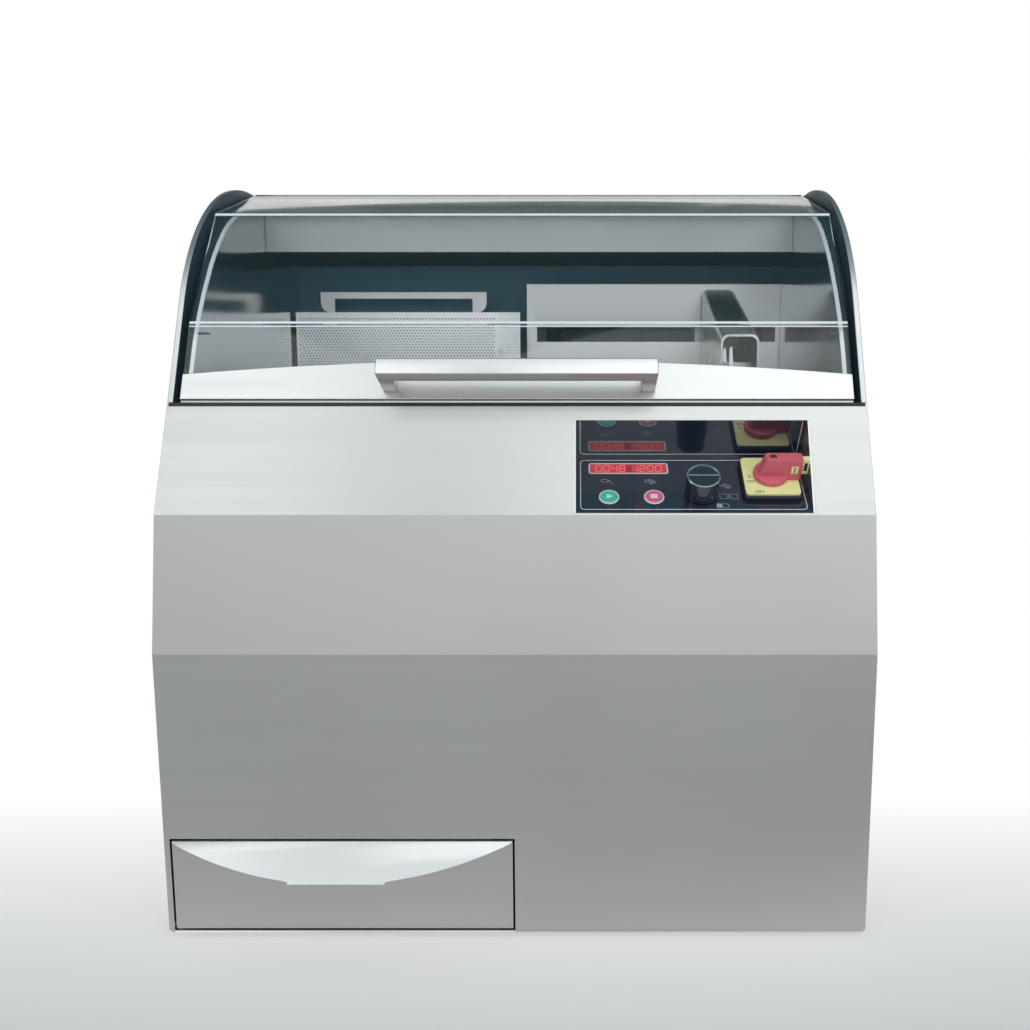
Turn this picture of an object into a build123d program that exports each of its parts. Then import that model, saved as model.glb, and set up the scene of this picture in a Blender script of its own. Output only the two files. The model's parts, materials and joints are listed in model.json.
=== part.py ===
from build123d import *
import os
from math import asin, atan2, cos, hypot, radians, sin, sqrt, tan

# Counter-top bread slicer. Bench frame: X right, Y back from the front panel's lowest facet, Z up from
# the lower edge of the casing. The finished pieces are shifted so that the origin is the middle of the
# footprint on the table. Millimetres.

# Casing
BODY_WIDTH = 726.0
MOTOR_BAY = 100.0
SHEET = 2.0
BASE_SHEET = 2.0
FOOT_HEIGHT = 8.0
FOOT_RADIUS = 20.0
FOOT_INSET = 60.0
LOWER_FACET_HEIGHT = 296.0
MIDDLE_FACET_HEIGHT = 138.0
MIDDLE_FACET_SETBACK = 23.0
UPPER_FACET_HEIGHT = 111.0
UPPER_FACET_SETBACK = 47.0
SILL_DEPTH = 34.0
FLANGE_WIDTH = 16.0
REAR_PROUD = 3.0
VENT_COLUMNS = 10
VENT_ROWS = 4
VENT_LENGTH = 40.0
VENT_WIDTH = 6.0
VENT_PITCH_X = 54.0
VENT_PITCH_Z = 16.0
VENT_LOWEST = 250.0

# Chamber
CHEEK_THICKNESS = 6.0
CHEEK_RADIUS = 250.0
ARC_CENTRE_DEPTH = 275.0
ARC_CENTRE_RISE = 11.0
ROOF_FLAT = 27.0
ROOF_BACK_DROP = 56.0
LINER_GAP = 12.0
LINER_SETBACK = 24.0
FLOOR_DROP = 55.0
BLADE_SLOT = 12.0
BLADE_SLOT_INSET = 3.0
HINGE_BACK_GAP = 2.0
BAND_HEIGHT = 73.0
FEED_PANEL_DEPTH = 419.0
FEED_PANEL_HEIGHT = 209.0
FEED_PANEL_FLANGE = 18.0
FEED_SLOT_RISE = 131.0
FEED_SLOT_HEIGHT = 21.0
FEED_SLOT_LEFT = 14.0
FEED_SLOT_RIGHT = 6.0
BUMPER_SIZE = 10.0

# Hood
HOOD_SIDE_GAP = 7.0
HOOD_SILL_GAP = 3.0
HOOD_THICKNESS = 5.0
HOOD_EDGE_INSET = 1.5
CREASE_ANGLE = 163.0
FOLD_ANGLE = 126.0
HINGE_DEPTH = 342.0
HINGE_DROP = 12.0
RAIL_RADIUS = 10.0
RAIL_FLANGE = 26.0
RAIL_SEAT = 4.0
HINGE_PIN_RADIUS = 3.0
HINGE_PIN_REACH = 22.0
STRIP_THICKNESS = 2.0
STRIP_END_HEIGHT = 28.0
STRIP_RISE = 16.0
HANDLE_LENGTH = 280.0
HANDLE_BAR = 16.0
HANDLE_FINGER_GAP = 30.0
HANDLE_OFFSET = 11.0

# Guard plate
GUARD_TO_WALL = 36.0
GUARD_SHEET = 1.5
GUARD_HEIGHT = 174.0
GUARD_BORDER = 30.0
GUARD_HANDLE_LENGTH = 236.0
GUARD_HANDLE_HEIGHT = 28.0
GUARD_HANDLE_BAR = 9.0
GUARD_HANDLE_SIDE = 20.0
GUARD_HANDLE_SHIFT = -4.0
GUARD_HANDLE_CORNER = 12.0
GUARD_HANDLE_FOOT = 14.0
GUARD_LIFT = 35.0
GUARD_PIN_RADIUS = 3.0
GUARD_PIN_RISE = 122.0
GUARD_PIN_PROUD = 8.0
GUARD_RAIL_WIDTH = 12.0
GUARD_RAIL_SLOT = 18.0

# Crumb drawer
DRAWER_FRONT_WIDTH = 351.0
DRAWER_FRONT_HEIGHT = 96.6
DRAWER_SIDE = 8.0
DRAWER_GAP = 2.0
DRAWER_LENGTH = 448.0
DRAWER_BOX_INSET = 10.0
DRAWER_BOX_RIGHT_INSET = 26.0
DRAWER_BOX_HEIGHT = 82.0
DRAWER_BOX_RISE = 6.0
LIP_WIDTH = 342.0
LIP_SAGITTA = 42.0
LIP_SLOPE = 45.0
LIP_SHEET = 2.0
LIP_TAB_WIDTH = 98.0
LIP_TAB_DROP = 1.6
RUNNER_WIDTH = 10.0
RUNNER_HEIGHT = 24.0

# Control pocket
POCKET_WIDTH = 239.0
POCKET_SIDE = 63.0
POCKET_START = 2.2
POCKET_FACE = 85.0
POCKET_SLOPE = 36.4
FASCIA_SHEET = 2.0
DISPLAY_CENTRE = (57.0, 68.5)
DISPLAY_SIZE = (88.0, 21.0)
START_PLACE = (34.0, 23.0)
STOP_PLACE = (80.0, 23.0)
BUTTON_RADIUS = 8.5
BUTTON_HEIGHT = 4.0
BUTTON_TRAVEL = 2.5
BUTTON_STEM_RADIUS = 3.0
BEZEL_RADIUS = 11.0
BEZEL_HEIGHT = 2.5
KNOB_PLACE = (129.0, 29.0)
KNOB_RADIUS = 17.5
KNOB_HEIGHT = 24.0
KNOB_LIFT = 1.0
KNOB_SHAFT_RADIUS = 3.0
ISOLATOR_PLACE = (201.0, 47.0)
ISOLATOR_SIZE = 60.0
ISOLATOR_BASE_HEIGHT = 6.0
ISOLATOR_PLATE_SIZE = 56.0
ISOLATOR_PLATE_SHEET = 2.0
ISOLATOR_BODY = 42.0
ISOLATOR_BODY_DEPTH = 46.0
ISOLATOR_SHAFT_RADIUS = 6.0
ISOLATOR_HUB_RADIUS = 18.0
ISOLATOR_HUB_HEIGHT = 6.0
ISOLATOR_GRIP_LENGTH = 50.0
ISOLATOR_GRIP_WIDTH = 15.0
ISOLATOR_GRIP_HEIGHT = 26.0
ISOLATOR_GRIP_BACK = 15.0
BOARD_DROP = 18.0
BOARD_SHEET = 2.0

# Slicing drive
ORBIT_DEPTH = 285.0
ORBIT_HEIGHT = 375.0
ORBIT_ARM = 85.0
BLADE_RADIUS = 150.0
BLADE_THICKNESS = 2.0
BLADE_EDGE_DEPTH = 0.8
BLADE_EDGE_WIDTH = 6.0
ARM_THICKNESS = 12.0
ARM_WIDTH = 40.0
COUNTERWEIGHT_REACH = 58.0
COUNTERWEIGHT_RADIUS = 42.0
BLADE_TO_ARM = 8.0
SPINDLE_RADIUS = 8.0
FLANGE_RADIUS = 18.0
SUN_RADIUS = 40.0
PLANET_RADIUS = 20.0
BELT_THICKNESS = 2.0
PLANET_BELT_WIDTH = 8.0
ARM_TO_BELT = 4.0
SHAFT_RADIUS = 15.0
HOUSING_RADIUS = 55.0
HOUSING_LENGTH = 12.0
FRAME_SHEET = 3.0
ORBIT_PULLEY_RADIUS = 75.0
MOTOR_PULLEY_RADIUS = 25.0
DRIVE_BELT_WIDTH = 16.0
FRAME_TO_BELT = 12.0
MOTOR_DEPTH = 440.0
MOTOR_HEIGHT = 90.0
MOTOR_RADIUS = 60.0
MOTOR_LENGTH = 120.0
MOTOR_SHAFT_RADIUS = 9.0
MOTOR_FOOT_WIDTH = 100.0
FRAME_FRONT = 120.0
FRAME_BACK_GAP = 40.0
FRAME_FOOT = 34.0
CHUTE_FRONT = 60.0
CHUTE_BACK = 440.0
CHUTE_HIGH = 114.0
CHUTE_LOW = 94.0

# Gripper and its feed
GRIPPER_SIDE_GAP = 63.0
GRIPPER_WIDTH = 46.0
GRIPPER_LENGTH = 183.0
GRIPPER_BACK_GAP = 4.0
GRIPPER_BACK_RISE = 201.0
GRIPPER_FRONT_RISE = 132.0
GRIPPER_BOTTOM_RISE = 10.0
GRIPPER_SHEET = 2.0
GRIPPER_CORNER = 9.2
GRIPPER_STOP_GAP = 41.0
CLAW_SLOT_DEPTHS = (18.0, 68.0, 118.0)
CLAW_SLOT_WIDTH = 10.0
CLAW_SLOT_LOW = 70.0
CLAW_SLOT_HIGH = 118.0
CLAW_SHAFT_RISE = 85.0
CLAW_SHAFT_RADIUS = 5.0
CLAW_REACH = 34.0
CLAW_THICKNESS = 6.0
CLAW_OFFSET = 16.0
ROD_RADIUS = 8.0
ROD_SPACING = 42.0
PANEL_TO_RODS = 31.0
ROD_BLOCK_WIDTH = 16.0
ROD_END_GAP = 7.0
CARRIAGE_WIDTH = 60.0
CARRIAGE_DEPTH = 38.0
CARRIAGE_HEIGHT = 66.0
FEED_PULLEY_RADIUS = 10.0
FEED_BELT_WIDTH = 10.0
RODS_TO_FEED_BELT = 24.0
FEED_BELT_TO_WALL = 14.0
FEED_PULLEY_MARGIN = 6.0
FEED_SHAFT_RADIUS = 4.0
FEED_MOTOR_SIZE = 60.0
FEED_MOTOR_LENGTH = 56.0
BELT_TAB_WIDTH = 20.0

# Fasteners and inlet
SCREW_RADIUS = 3.0
SCREW_HEAD = 1.6
SCREW_LENGTH = 8.0
SILL_SCREW_PLACES = (-98.0, 111.0, 270.0)
INLET_WIDTH = 50.0
INLET_HEIGHT = 28.0
INLET_DEPTH = 26.0
INLET_PLACE = (250.0, 90.0)
INLET_WALL = 2.5
INLET_PIN = 4.0

# Clearances
RUNNING_GAP = 0.05
SLIDE_GAP = 0.3
LOOSE_GAP = 1.0
CUT_OVERRUN = 1.0

# Worked-out places
half_width = BODY_WIDTH / 2
shoulder = LOWER_FACET_HEIGHT + MIDDLE_FACET_HEIGHT + UPPER_FACET_HEIGHT
facet_top = MIDDLE_FACET_SETBACK + UPPER_FACET_SETBACK
sill_back = facet_top + SILL_DEPTH
floor_top = shoulder - FLOOR_DROP
floor_under = floor_top - SHEET
cheek_inner = half_width - CHEEK_THICKNESS
liner_outer = cheek_inner - LINER_GAP
liner_inner = liner_outer - SHEET
rod_depth = FEED_PANEL_DEPTH + PANEL_TO_RODS
feed_belt_front = rod_depth + RODS_TO_FEED_BELT
feed_belt_back = feed_belt_front + FEED_BELT_WIDTH
wall_front = feed_belt_back + FEED_BELT_TO_WALL
wall_back = wall_front + SHEET
guard_front = wall_front - GUARD_TO_WALL
motor_bore_end = wall_back + FEED_MOTOR_LENGTH / 2
body_depth = wall_back + MOTOR_BAY
frame_back = body_depth - FRAME_BACK_GAP
arc_centre = (facet_top + ARC_CENTRE_DEPTH, shoulder + ARC_CENTRE_RISE)
roof_top = arc_centre[1] + CHEEK_RADIUS
band_low = roof_top - BAND_HEIGHT
hinge = (HINGE_DEPTH, roof_top - HINGE_DROP)
band_front = HINGE_DEPTH + RAIL_RADIUS + HINGE_BACK_GAP
roof_break = arc_centre[0] + ROOF_FLAT
roof_back = roof_top - ROOF_BACK_DROP
hood_half = cheek_inner - HOOD_SIDE_GAP
fold_low = (0.0, LOWER_FACET_HEIGHT)
fold_high = (MIDDLE_FACET_SETBACK, LOWER_FACET_HEIGHT + MIDDLE_FACET_HEIGHT)
facet_end = (facet_top, shoulder)
front_profile = [(0.0, 0.0), fold_low, fold_high, facet_end]
lip_reach = (LIP_SAGITTA + LIP_TAB_DROP) * cos(radians(LIP_SLOPE))
drawer_left = -half_width + DRAWER_SIDE
drawer_right = drawer_left + DRAWER_FRONT_WIDTH
drawer_low = DRAWER_GAP
drawer_high = drawer_low + DRAWER_FRONT_HEIGHT
box_left = drawer_left + DRAWER_BOX_INSET
box_right = drawer_right - DRAWER_BOX_RIGHT_INSET
slot_right = drawer_right - BLADE_SLOT_INSET
slot_left = slot_right - BLADE_SLOT
pocket_right = half_width - POCKET_SIDE
pocket_left = pocket_right - POCKET_WIDTH
orbit = (ORBIT_DEPTH, ORBIT_HEIGHT)
planet = (ORBIT_DEPTH, ORBIT_HEIGHT - ORBIT_ARM)
motor = (MOTOR_DEPTH, MOTOR_HEIGHT)
sweep_radius = ORBIT_ARM + BLADE_RADIUS
blade_right = (slot_left + slot_right) / 2 + BLADE_THICKNESS / 2
arm_left = blade_right + BLADE_TO_ARM
arm_right = arm_left + ARM_THICKNESS
planet_belt_left = arm_right + ARM_TO_BELT
planet_belt_right = planet_belt_left + PLANET_BELT_WIDTH
frame_left = planet_belt_right + HOUSING_LENGTH
frame_right = frame_left + FRAME_SHEET
drive_left = frame_right + FRAME_TO_BELT
drive_right = drive_left + DRIVE_BELT_WIDTH
slot_low = floor_top + FEED_SLOT_RISE
slot_middle = slot_low + FEED_SLOT_HEIGHT / 2
gripper_right = liner_inner - GRIPPER_SIDE_GAP
gripper_left = gripper_right - GRIPPER_WIDTH
gripper_back = FEED_PANEL_DEPTH - GRIPPER_BACK_GAP
gripper_front = gripper_back - GRIPPER_LENGTH
gripper_travel = gripper_left - slot_right - GRIPPER_STOP_GAP
gripper_middle = gripper_right - GRIPPER_WIDTH / 2
carriage_left = gripper_middle - CARRIAGE_WIDTH / 2
carriage_right = gripper_middle + CARRIAGE_WIDTH / 2
belt_tab_right = carriage_right - LOOSE_GAP
belt_tab_left = belt_tab_right - BELT_TAB_WIDTH
pulley_room = FEED_PULLEY_RADIUS + BELT_THICKNESS + FEED_PULLEY_MARGIN
feed_pulley_left = belt_tab_left - gripper_travel - pulley_room
feed_pulley_right = belt_tab_right + pulley_room
rod_stop_left = carriage_left - gripper_travel - ROD_END_GAP
rod_stop_right = feed_pulley_right + FEED_PULLEY_RADIUS + BELT_THICKNESS + ROD_END_GAP
claw_axis = (gripper_left + CLAW_OFFSET, floor_top + CLAW_SHAFT_RISE)


def offset_path(points, distance):
    """The (y, z) path moved to the right of its direction by a distance, with mitred corners."""
    normals = []
    for (y0, z0), (y1, z1) in zip(points, points[1:]):
        length = hypot(y1 - y0, z1 - z0)
        normals.append(((z1 - z0) / length, -(y1 - y0) / length))
    moved = []
    for index, (y, z) in enumerate(points):
        before = normals[max(index - 1, 0)]
        after = normals[min(index, len(normals) - 1)]
        stretch = distance / (1 + before[0] * after[0] + before[1] * after[1])
        moved.append((y + (before[0] + after[0]) * stretch, z + (before[1] + after[1]) * stretch))
    return moved


def tangent_point(point, centre, radius):
    """Where the upper tangent from a (y, z) point touches a circle."""
    dy = centre[0] - point[0]
    dz = centre[1] - point[1]
    distance = hypot(dy, dz)
    length = sqrt(distance**2 - radius**2)
    angle = atan2(dz, dy) + asin(radius / distance)
    return point[0] + length * cos(angle), point[1] + length * sin(angle)


def side_prism(points, x0, x1):
    """A solid with the given (y, z) outline from x0 to x1."""
    outline = Polyline(*[(x0, y, z) for y, z in points], close=True)
    return extrude(make_face(outline), amount=x1 - x0, dir=(1, 0, 0))


def bent_sheet(points, thickness, x0, x1):
    """A folded sheet whose outer face follows the (y, z) path, thickened to its right."""
    return side_prism(points + offset_path(points, thickness)[::-1], x0, x1)


def block(x, y, z):
    """A box between pairs of limits."""
    centre = Pos((x[0] + x[1]) / 2, (y[0] + y[1]) / 2, (z[0] + z[1]) / 2)
    return centre * Box(x[1] - x[0], y[1] - y[0], z[1] - z[0])


def rod_x(radius, x0, x1, place):
    """A round bar along X at a (y, z) place."""
    return Pos((x0 + x1) / 2, *place) * Rot(0, 90, 0) * Cylinder(radius, x1 - x0)


def rod_y(radius, y0, y1, x, z):
    """A round bar along Y."""
    return Pos(x, (y0 + y1) / 2, z) * Rot(90, 0, 0) * Cylinder(radius, y1 - y0)


def rod_z(radius, z0, z1, x, y):
    """A round bar along Z."""
    return Pos(x, y, (z0 + z1) / 2) * Cylinder(radius, z1 - z0)


def belt_outline(first, first_radius, second, second_radius):
    """A flat face round two circles and the straight runs between them."""
    dx = second[0] - first[0]
    dy = second[1] - first[1]
    lean = atan2(dy, dx)
    turn = atan2(sqrt(hypot(dx, dy)**2 - (first_radius - second_radius)**2), first_radius - second_radius)
    corners = []
    for centre, radius, side in (
        (first, first_radius, 1), (second, second_radius, 1),
        (second, second_radius, -1), (first, first_radius, -1),
    ):
        angle = lean + side * turn
        corners.append((centre[0] + radius * cos(angle), centre[1] + radius * sin(angle)))
    runs = make_face(Polyline(*corners, close=True))
    return runs + Pos(*first) * Circle(first_radius) + Pos(*second) * Circle(second_radius)


def belt(plane, first, first_radius, second, second_radius, width):
    """A belt of BELT_THICKNESS lying on two pulleys, with its middle on the plane."""
    outer = belt_outline(first, first_radius + BELT_THICKNESS, second, second_radius + BELT_THICKNESS)
    inner = belt_outline(first, first_radius, second, second_radius)
    return extrude(plane * (outer - inner), amount=width / 2, both=True)


def on_facet(distance):
    """The (y, z) point on the upper facet at a distance above its lower fold."""
    length = hypot(UPPER_FACET_SETBACK, UPPER_FACET_HEIGHT)
    share = distance / length
    return fold_high[0] + UPPER_FACET_SETBACK * share, fold_high[1] + UPPER_FACET_HEIGHT * share


def pocket_path():
    """The pocket's lower face and upper face as a (y, z) path between two points of the facet."""
    slope = radians(POCKET_SLOPE)
    facet_angle = atan2(UPPER_FACET_HEIGHT, UPPER_FACET_SETBACK)
    low = on_facet(POCKET_START)
    high = on_facet(POCKET_START + POCKET_FACE / cos(facet_angle - slope))
    corner = (low[0] + POCKET_FACE * cos(slope), low[1] + POCKET_FACE * sin(slope))
    return [low, corner, high]


def pocket_envelope(depth, x0, x1):
    """The filled pocket with its two faces moved inwards by a depth."""
    path = pocket_path()
    return side_prism(path[:1] + offset_path(path, depth) + path[-1:], x0, x1)


def sill_screw_spots():
    """Centres of the small screws on the sill, along the front."""
    return [(x, facet_top + SILL_DEPTH / 3) for x in SILL_SCREW_PLACES]


def rear_screw_spots():
    """Centres of the rear panel's screws, two columns of four."""
    column = half_width - FLANGE_WIDTH / 2
    step = (shoulder - 2 * FLANGE_WIDTH) / 3
    return [(side * column, FLANGE_WIDTH + row * step) for side in (-1, 1) for row in range(4)]


def make_base_plate():
    """Flat base; its front edge shows under the drawer."""
    return block((-half_width + SHEET, half_width - SHEET), (0, body_depth - SHEET), (-BASE_SHEET, 0))


def make_rubber_feet():
    """Four round feet under the base."""
    feet = Part()
    for x in (-half_width + FOOT_INSET, half_width - FOOT_INSET):
        for y in (FOOT_INSET, body_depth - FOOT_INSET):
            feet += rod_z(FOOT_RADIUS, -BASE_SHEET - FOOT_HEIGHT, -BASE_SHEET, x, y)
    return feet


def panel_inner_path():
    """The front panel's inner face as a (y, z) path, from the base up to the shoulder."""
    facet_lean = UPPER_FACET_SETBACK / UPPER_FACET_HEIGHT
    top_front = facet_top + SHEET * sqrt(1 + facet_lean**2)
    return offset_path(front_profile, SHEET)[:-1] + [(top_front, shoulder)]


def make_front_panel():
    """Faceted front with the drawer opening, the pocket opening, the sill and the chamber upstand."""
    path = front_profile + [(sill_back, shoulder), (sill_back, floor_under)]
    panel = bent_sheet(path, SHEET, -half_width, half_width)
    panel -= block(
        (drawer_left - DRAWER_GAP, drawer_right + DRAWER_GAP), (-SHEET, 2 * SHEET),
        (-SHEET, drawer_high + DRAWER_GAP),
    )
    panel -= pocket_envelope(FASCIA_SHEET + SHEET, pocket_left - SHEET, pocket_right + SHEET)
    notch_high = ORBIT_HEIGHT + sqrt(sweep_radius**2 - (ORBIT_DEPTH - sill_back)**2) + 2 * LOOSE_GAP
    panel -= block((slot_left, slot_right), (facet_top, sill_back + SHEET), (0, notch_high))
    inner_path = panel_inner_path()
    behind = sill_back + SHEET
    beside = inner_path[-2:] + [(behind, shoulder), (behind, inner_path[-2][1])]
    for side in (-1, 1):
        panel -= side_prism(beside, *sorted((side * (half_width - SHEET), side * half_width)))
    for x, y in sill_screw_spots():
        panel -= rod_z(SCREW_RADIUS / 2 + RUNNING_GAP, shoulder - 2 * SHEET, shoulder + SHEET, x, y)
    return panel


def make_side_panel(side):
    """Outer side skin with an inward flange along the top and down the back."""
    back = body_depth - SHEET
    outline = panel_inner_path() + [(back, shoulder), (back, 0.0)]
    skin = sorted((side * (half_width - SHEET), side * half_width))
    panel = side_prism(outline, *skin)
    top = sorted((side * liner_outer, side * (half_width - SHEET)))
    panel += block(top, (sill_back, back), (shoulder - SHEET, shoulder))
    rear = sorted((side * (half_width - SHEET - FLANGE_WIDTH), side * (half_width - SHEET)))
    panel += block(rear, (back - SHEET, back), (0, shoulder))
    for x, z in rear_screw_spots():
        panel -= rod_y(SCREW_RADIUS / 2 + RUNNING_GAP, back - 2 * SHEET, back + SHEET, x, z)
    return panel


def chamber_outline(x, setback, bottom, back):
    """A face in the plane of a cheek: straight front edge, arc, flat top, with the edge set back."""
    start = (facet_top, shoulder)
    touch = tangent_point(start, arc_centre, CHEEK_RADIUS)
    lean = atan2(touch[1] - start[1], touch[0] - start[0])
    radius = CHEEK_RADIUS - setback
    arc_start = (arc_centre[0] - radius * sin(lean), arc_centre[1] + radius * cos(lean))
    arc_middle = (arc_centre[0] - radius * sin(lean / 2), arc_centre[1] + radius * cos(lean / 2))
    arc_end = (arc_centre[0], arc_centre[1] + radius)
    foot = (arc_start[0] - (arc_start[1] - bottom) / tan(lean), bottom)
    front = Polyline((x, *foot), (x, *arc_start))
    arc = ThreePointArc((x, *arc_start), (x, *arc_middle), (x, *arc_end))
    rest = Polyline((x, *arc_end), (x, back, arc_end[1]), (x, back, bottom), (x, *foot))
    return make_face([*front.edges(), *arc.edges(), *rest.edges()])


def chamber_plate(x0, x1, setback, bottom, back):
    """A plate with the cheek's outline between two values of X."""
    return extrude(chamber_outline(x0, setback, bottom, back), amount=x1 - x0, dir=(1, 0, 0))


def make_cheek(side):
    """Thick fixed side plate of the hood, with the pin that the hood turns on."""
    x0, x1 = sorted((side * cheek_inner, side * half_width))
    cheek = chamber_plate(x0, x1, 0, shoulder, body_depth)
    above_roof = [
        (roof_break, roof_top), (body_depth, roof_back), (body_depth + SHEET, roof_back),
        (body_depth + SHEET, roof_top + SHEET), (roof_break, roof_top + SHEET),
    ]
    cheek -= side_prism(above_roof, x0, x1)
    pin = sorted((side * (hood_half - HINGE_PIN_REACH), side * (cheek_inner + SHEET)))
    return cheek + rod_x(HINGE_PIN_RADIUS, *pin, hinge)


def make_liner(side):
    """Inner side wall of the chamber with the lip that closes the space to the cheek."""
    x0, x1 = sorted((side * liner_inner, side * liner_outer))
    lip0, lip1 = sorted((side * liner_outer, side * cheek_inner))
    end = band_front - SHEET
    wall = chamber_plate(x0, x1, LINER_SETBACK, shoulder, end)
    lip = chamber_plate(lip0, lip1, LINER_SETBACK, shoulder, end)
    lip -= chamber_plate(lip0, lip1, LINER_SETBACK + SHEET, shoulder - SHEET, end + SHEET)
    wall += block((x0, x1), (sill_back, wall_back), (floor_under, shoulder))
    wall += block((x0, x1), (end - SHEET, wall_back), (shoulder, band_low - SHEET))
    return wall + lip


def make_top_cover():
    """Roof sheet with its front band, between the cheeks."""
    path = [(band_front, band_low), (band_front, roof_top), (roof_break, roof_top), (body_depth, roof_back)]
    return bent_sheet(path, SHEET, -cheek_inner, cheek_inner)


def inlet_hole():
    """The opening in the rear panel for the power inlet."""
    x, z = INLET_PLACE
    half = (INLET_WIDTH / 2 - INLET_WALL, INLET_HEIGHT / 2 - INLET_WALL)
    depth = (body_depth - 2 * SHEET, body_depth + SHEET)
    return block((x - half[0], x + half[0]), depth, (z - half[1], z + half[1]))


def make_rear_panel():
    """Back sheet with rows of vent slots and the inlet opening."""
    front = body_depth - SHEET
    panel = block((-half_width, half_width), (front, body_depth), (0, shoulder))
    panel += block((-cheek_inner, cheek_inner), (front, body_depth), (0, roof_back - 2 * SHEET))
    first = -(VENT_COLUMNS - 1) / 2 * VENT_PITCH_X
    for column in range(VENT_COLUMNS):
        x = first + column * VENT_PITCH_X
        for row in range(VENT_ROWS):
            z = VENT_LOWEST + row * VENT_PITCH_Z
            plane = Plane((x, body_depth, z), x_dir=(1, 0, 0), z_dir=(0, -1, 0))
            panel -= extrude(plane * SlotOverall(VENT_LENGTH, VENT_WIDTH), amount=2 * SHEET)
    for x, z in rear_screw_spots():
        panel -= rod_y(SCREW_RADIUS / 2 + RUNNING_GAP, front - SHEET, body_depth + SHEET, x, z)
    return panel - inlet_hole()


def make_panel_screws():
    """Screws along the sill and round the rear panel."""
    screws = Part()
    for x, y in sill_screw_spots():
        screws += rod_z(SCREW_RADIUS, shoulder, shoulder + SCREW_HEAD, x, y)
        screws += rod_z(SCREW_RADIUS / 2, shoulder - SCREW_LENGTH, shoulder, x, y)
    for x, z in rear_screw_spots():
        screws += rod_y(SCREW_RADIUS, body_depth, body_depth + SCREW_HEAD, x, z)
        screws += rod_y(SCREW_RADIUS / 2, body_depth - SCREW_LENGTH, body_depth, x, z)
    return screws


def make_power_inlet():
    """Three-pin inlet socket in the rear panel."""
    x, z = INLET_PLACE
    wide, high = INLET_WIDTH / 2, INLET_HEIGHT / 2
    inner_wide, inner_high = wide - 2 * INLET_WALL, high - 2 * INLET_WALL
    back = body_depth + REAR_PROUD
    inlet = block((x - wide, x + wide), (body_depth, back), (z - high, z + high))
    inlet += block(
        (x - wide + INLET_WALL + RUNNING_GAP, x + wide - INLET_WALL - RUNNING_GAP),
        (body_depth - INLET_DEPTH, body_depth),
        (z - high + INLET_WALL + RUNNING_GAP, z + high - INLET_WALL - RUNNING_GAP),
    )
    floor = body_depth - INLET_DEPTH + INLET_WALL
    inlet -= block((x - inner_wide, x + inner_wide), (floor, back), (z - inner_high, z + inner_high))
    for step in (-1, 0, 1):
        pin_x = x + step * INLET_WIDTH / 4
        inlet += block((pin_x - INLET_PIN / 4, pin_x + INLET_PIN / 4), (floor, body_depth),
                       (z - INLET_PIN / 2, z + INLET_PIN / 2))
    return inlet


def make_floor(x0, x1):
    """One chamber floor plate."""
    return block((x0, x1), (sill_back, wall_front), (floor_under, floor_top))


def make_feed_back_panel():
    """Upright panel behind the loaf, with the slot that the gripper travels in."""
    path = [
        (FEED_PANEL_DEPTH, floor_top), (FEED_PANEL_DEPTH, floor_top + FEED_PANEL_HEIGHT),
        (FEED_PANEL_DEPTH + FEED_PANEL_FLANGE, floor_top + FEED_PANEL_HEIGHT),
    ]
    panel = bent_sheet(path, SHEET, slot_right, liner_inner)
    return panel - block(
        (slot_right + FEED_SLOT_LEFT, liner_inner - FEED_SLOT_RIGHT),
        (FEED_PANEL_DEPTH - SHEET, FEED_PANEL_DEPTH + 2 * SHEET),
        (slot_low, slot_low + FEED_SLOT_HEIGHT),
    )


def guard_pin_spots():
    """Centres of the guard plate's two pins: left and right."""
    z = floor_top + GUARD_PIN_RISE
    return [(-liner_inner + GUARD_BORDER / 2, z), (slot_left - GUARD_BORDER, z)]


def make_bay_wall():
    """Wall behind the chamber, with the guard plate's rails and the feed pulleys' bosses."""
    wall = block((-liner_inner, liner_inner), (wall_front, wall_back), (floor_under, band_low - SHEET))
    rail_front = guard_front + GUARD_SHEET + SLIDE_GAP
    for x, z in guard_pin_spots():
        half = GUARD_RAIL_WIDTH / 2
        rail_high = z + GUARD_LIFT + GUARD_RAIL_WIDTH
        rail = block((x - half, x + half), (rail_front, wall_front), (floor_top, rail_high))
        room = GUARD_PIN_RADIUS + SLIDE_GAP
        rail -= block((x - room, x + room), (rail_front, rail_front + GUARD_RAIL_SLOT),
                      (z - room, z + GUARD_LIFT + room))
        wall += rail
    for x in (feed_pulley_left, feed_pulley_right):
        wall += rod_y(2 * FEED_SHAFT_RADIUS, feed_belt_back + LOOSE_GAP, wall_front, x, slot_middle)
        wall -= rod_y(FEED_SHAFT_RADIUS + RUNNING_GAP, feed_belt_back, wall_back + SHEET, x, slot_middle)
    return wall


def hood_path():
    """Outer face of the hood sheet from its lower edge over the crease and the fold to the hinge rail."""
    touch = tangent_point(facet_end, arc_centre, CHEEK_RADIUS)
    lean = (touch[0] - facet_end[0]) / (touch[1] - facet_end[1])
    radius = CHEEK_RADIUS - HOOD_EDGE_INSET
    corners = []
    for angle in (CREASE_ANGLE, FOLD_ANGLE):
        turn = radians(angle)
        corners.append((arc_centre[0] + radius * cos(turn), arc_centre[1] + radius * sin(turn)))
    low = (facet_top + HOOD_EDGE_INSET + HOOD_SILL_GAP * lean, shoulder + HOOD_SILL_GAP)
    end = tangent_point(corners[1], hinge, RAIL_SEAT + HOOD_THICKNESS)
    return [low, *corners, end]


def hood_plane():
    """Plane of the hood's lower facet: local y up the facet, local z outwards, origin at its lower edge."""
    (y0, z0), (y1, z1) = hood_path()[:2]
    return Plane((0, y0, z0), x_dir=(1, 0, 0), z_dir=(0, -(z1 - z0), y1 - y0))


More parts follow.
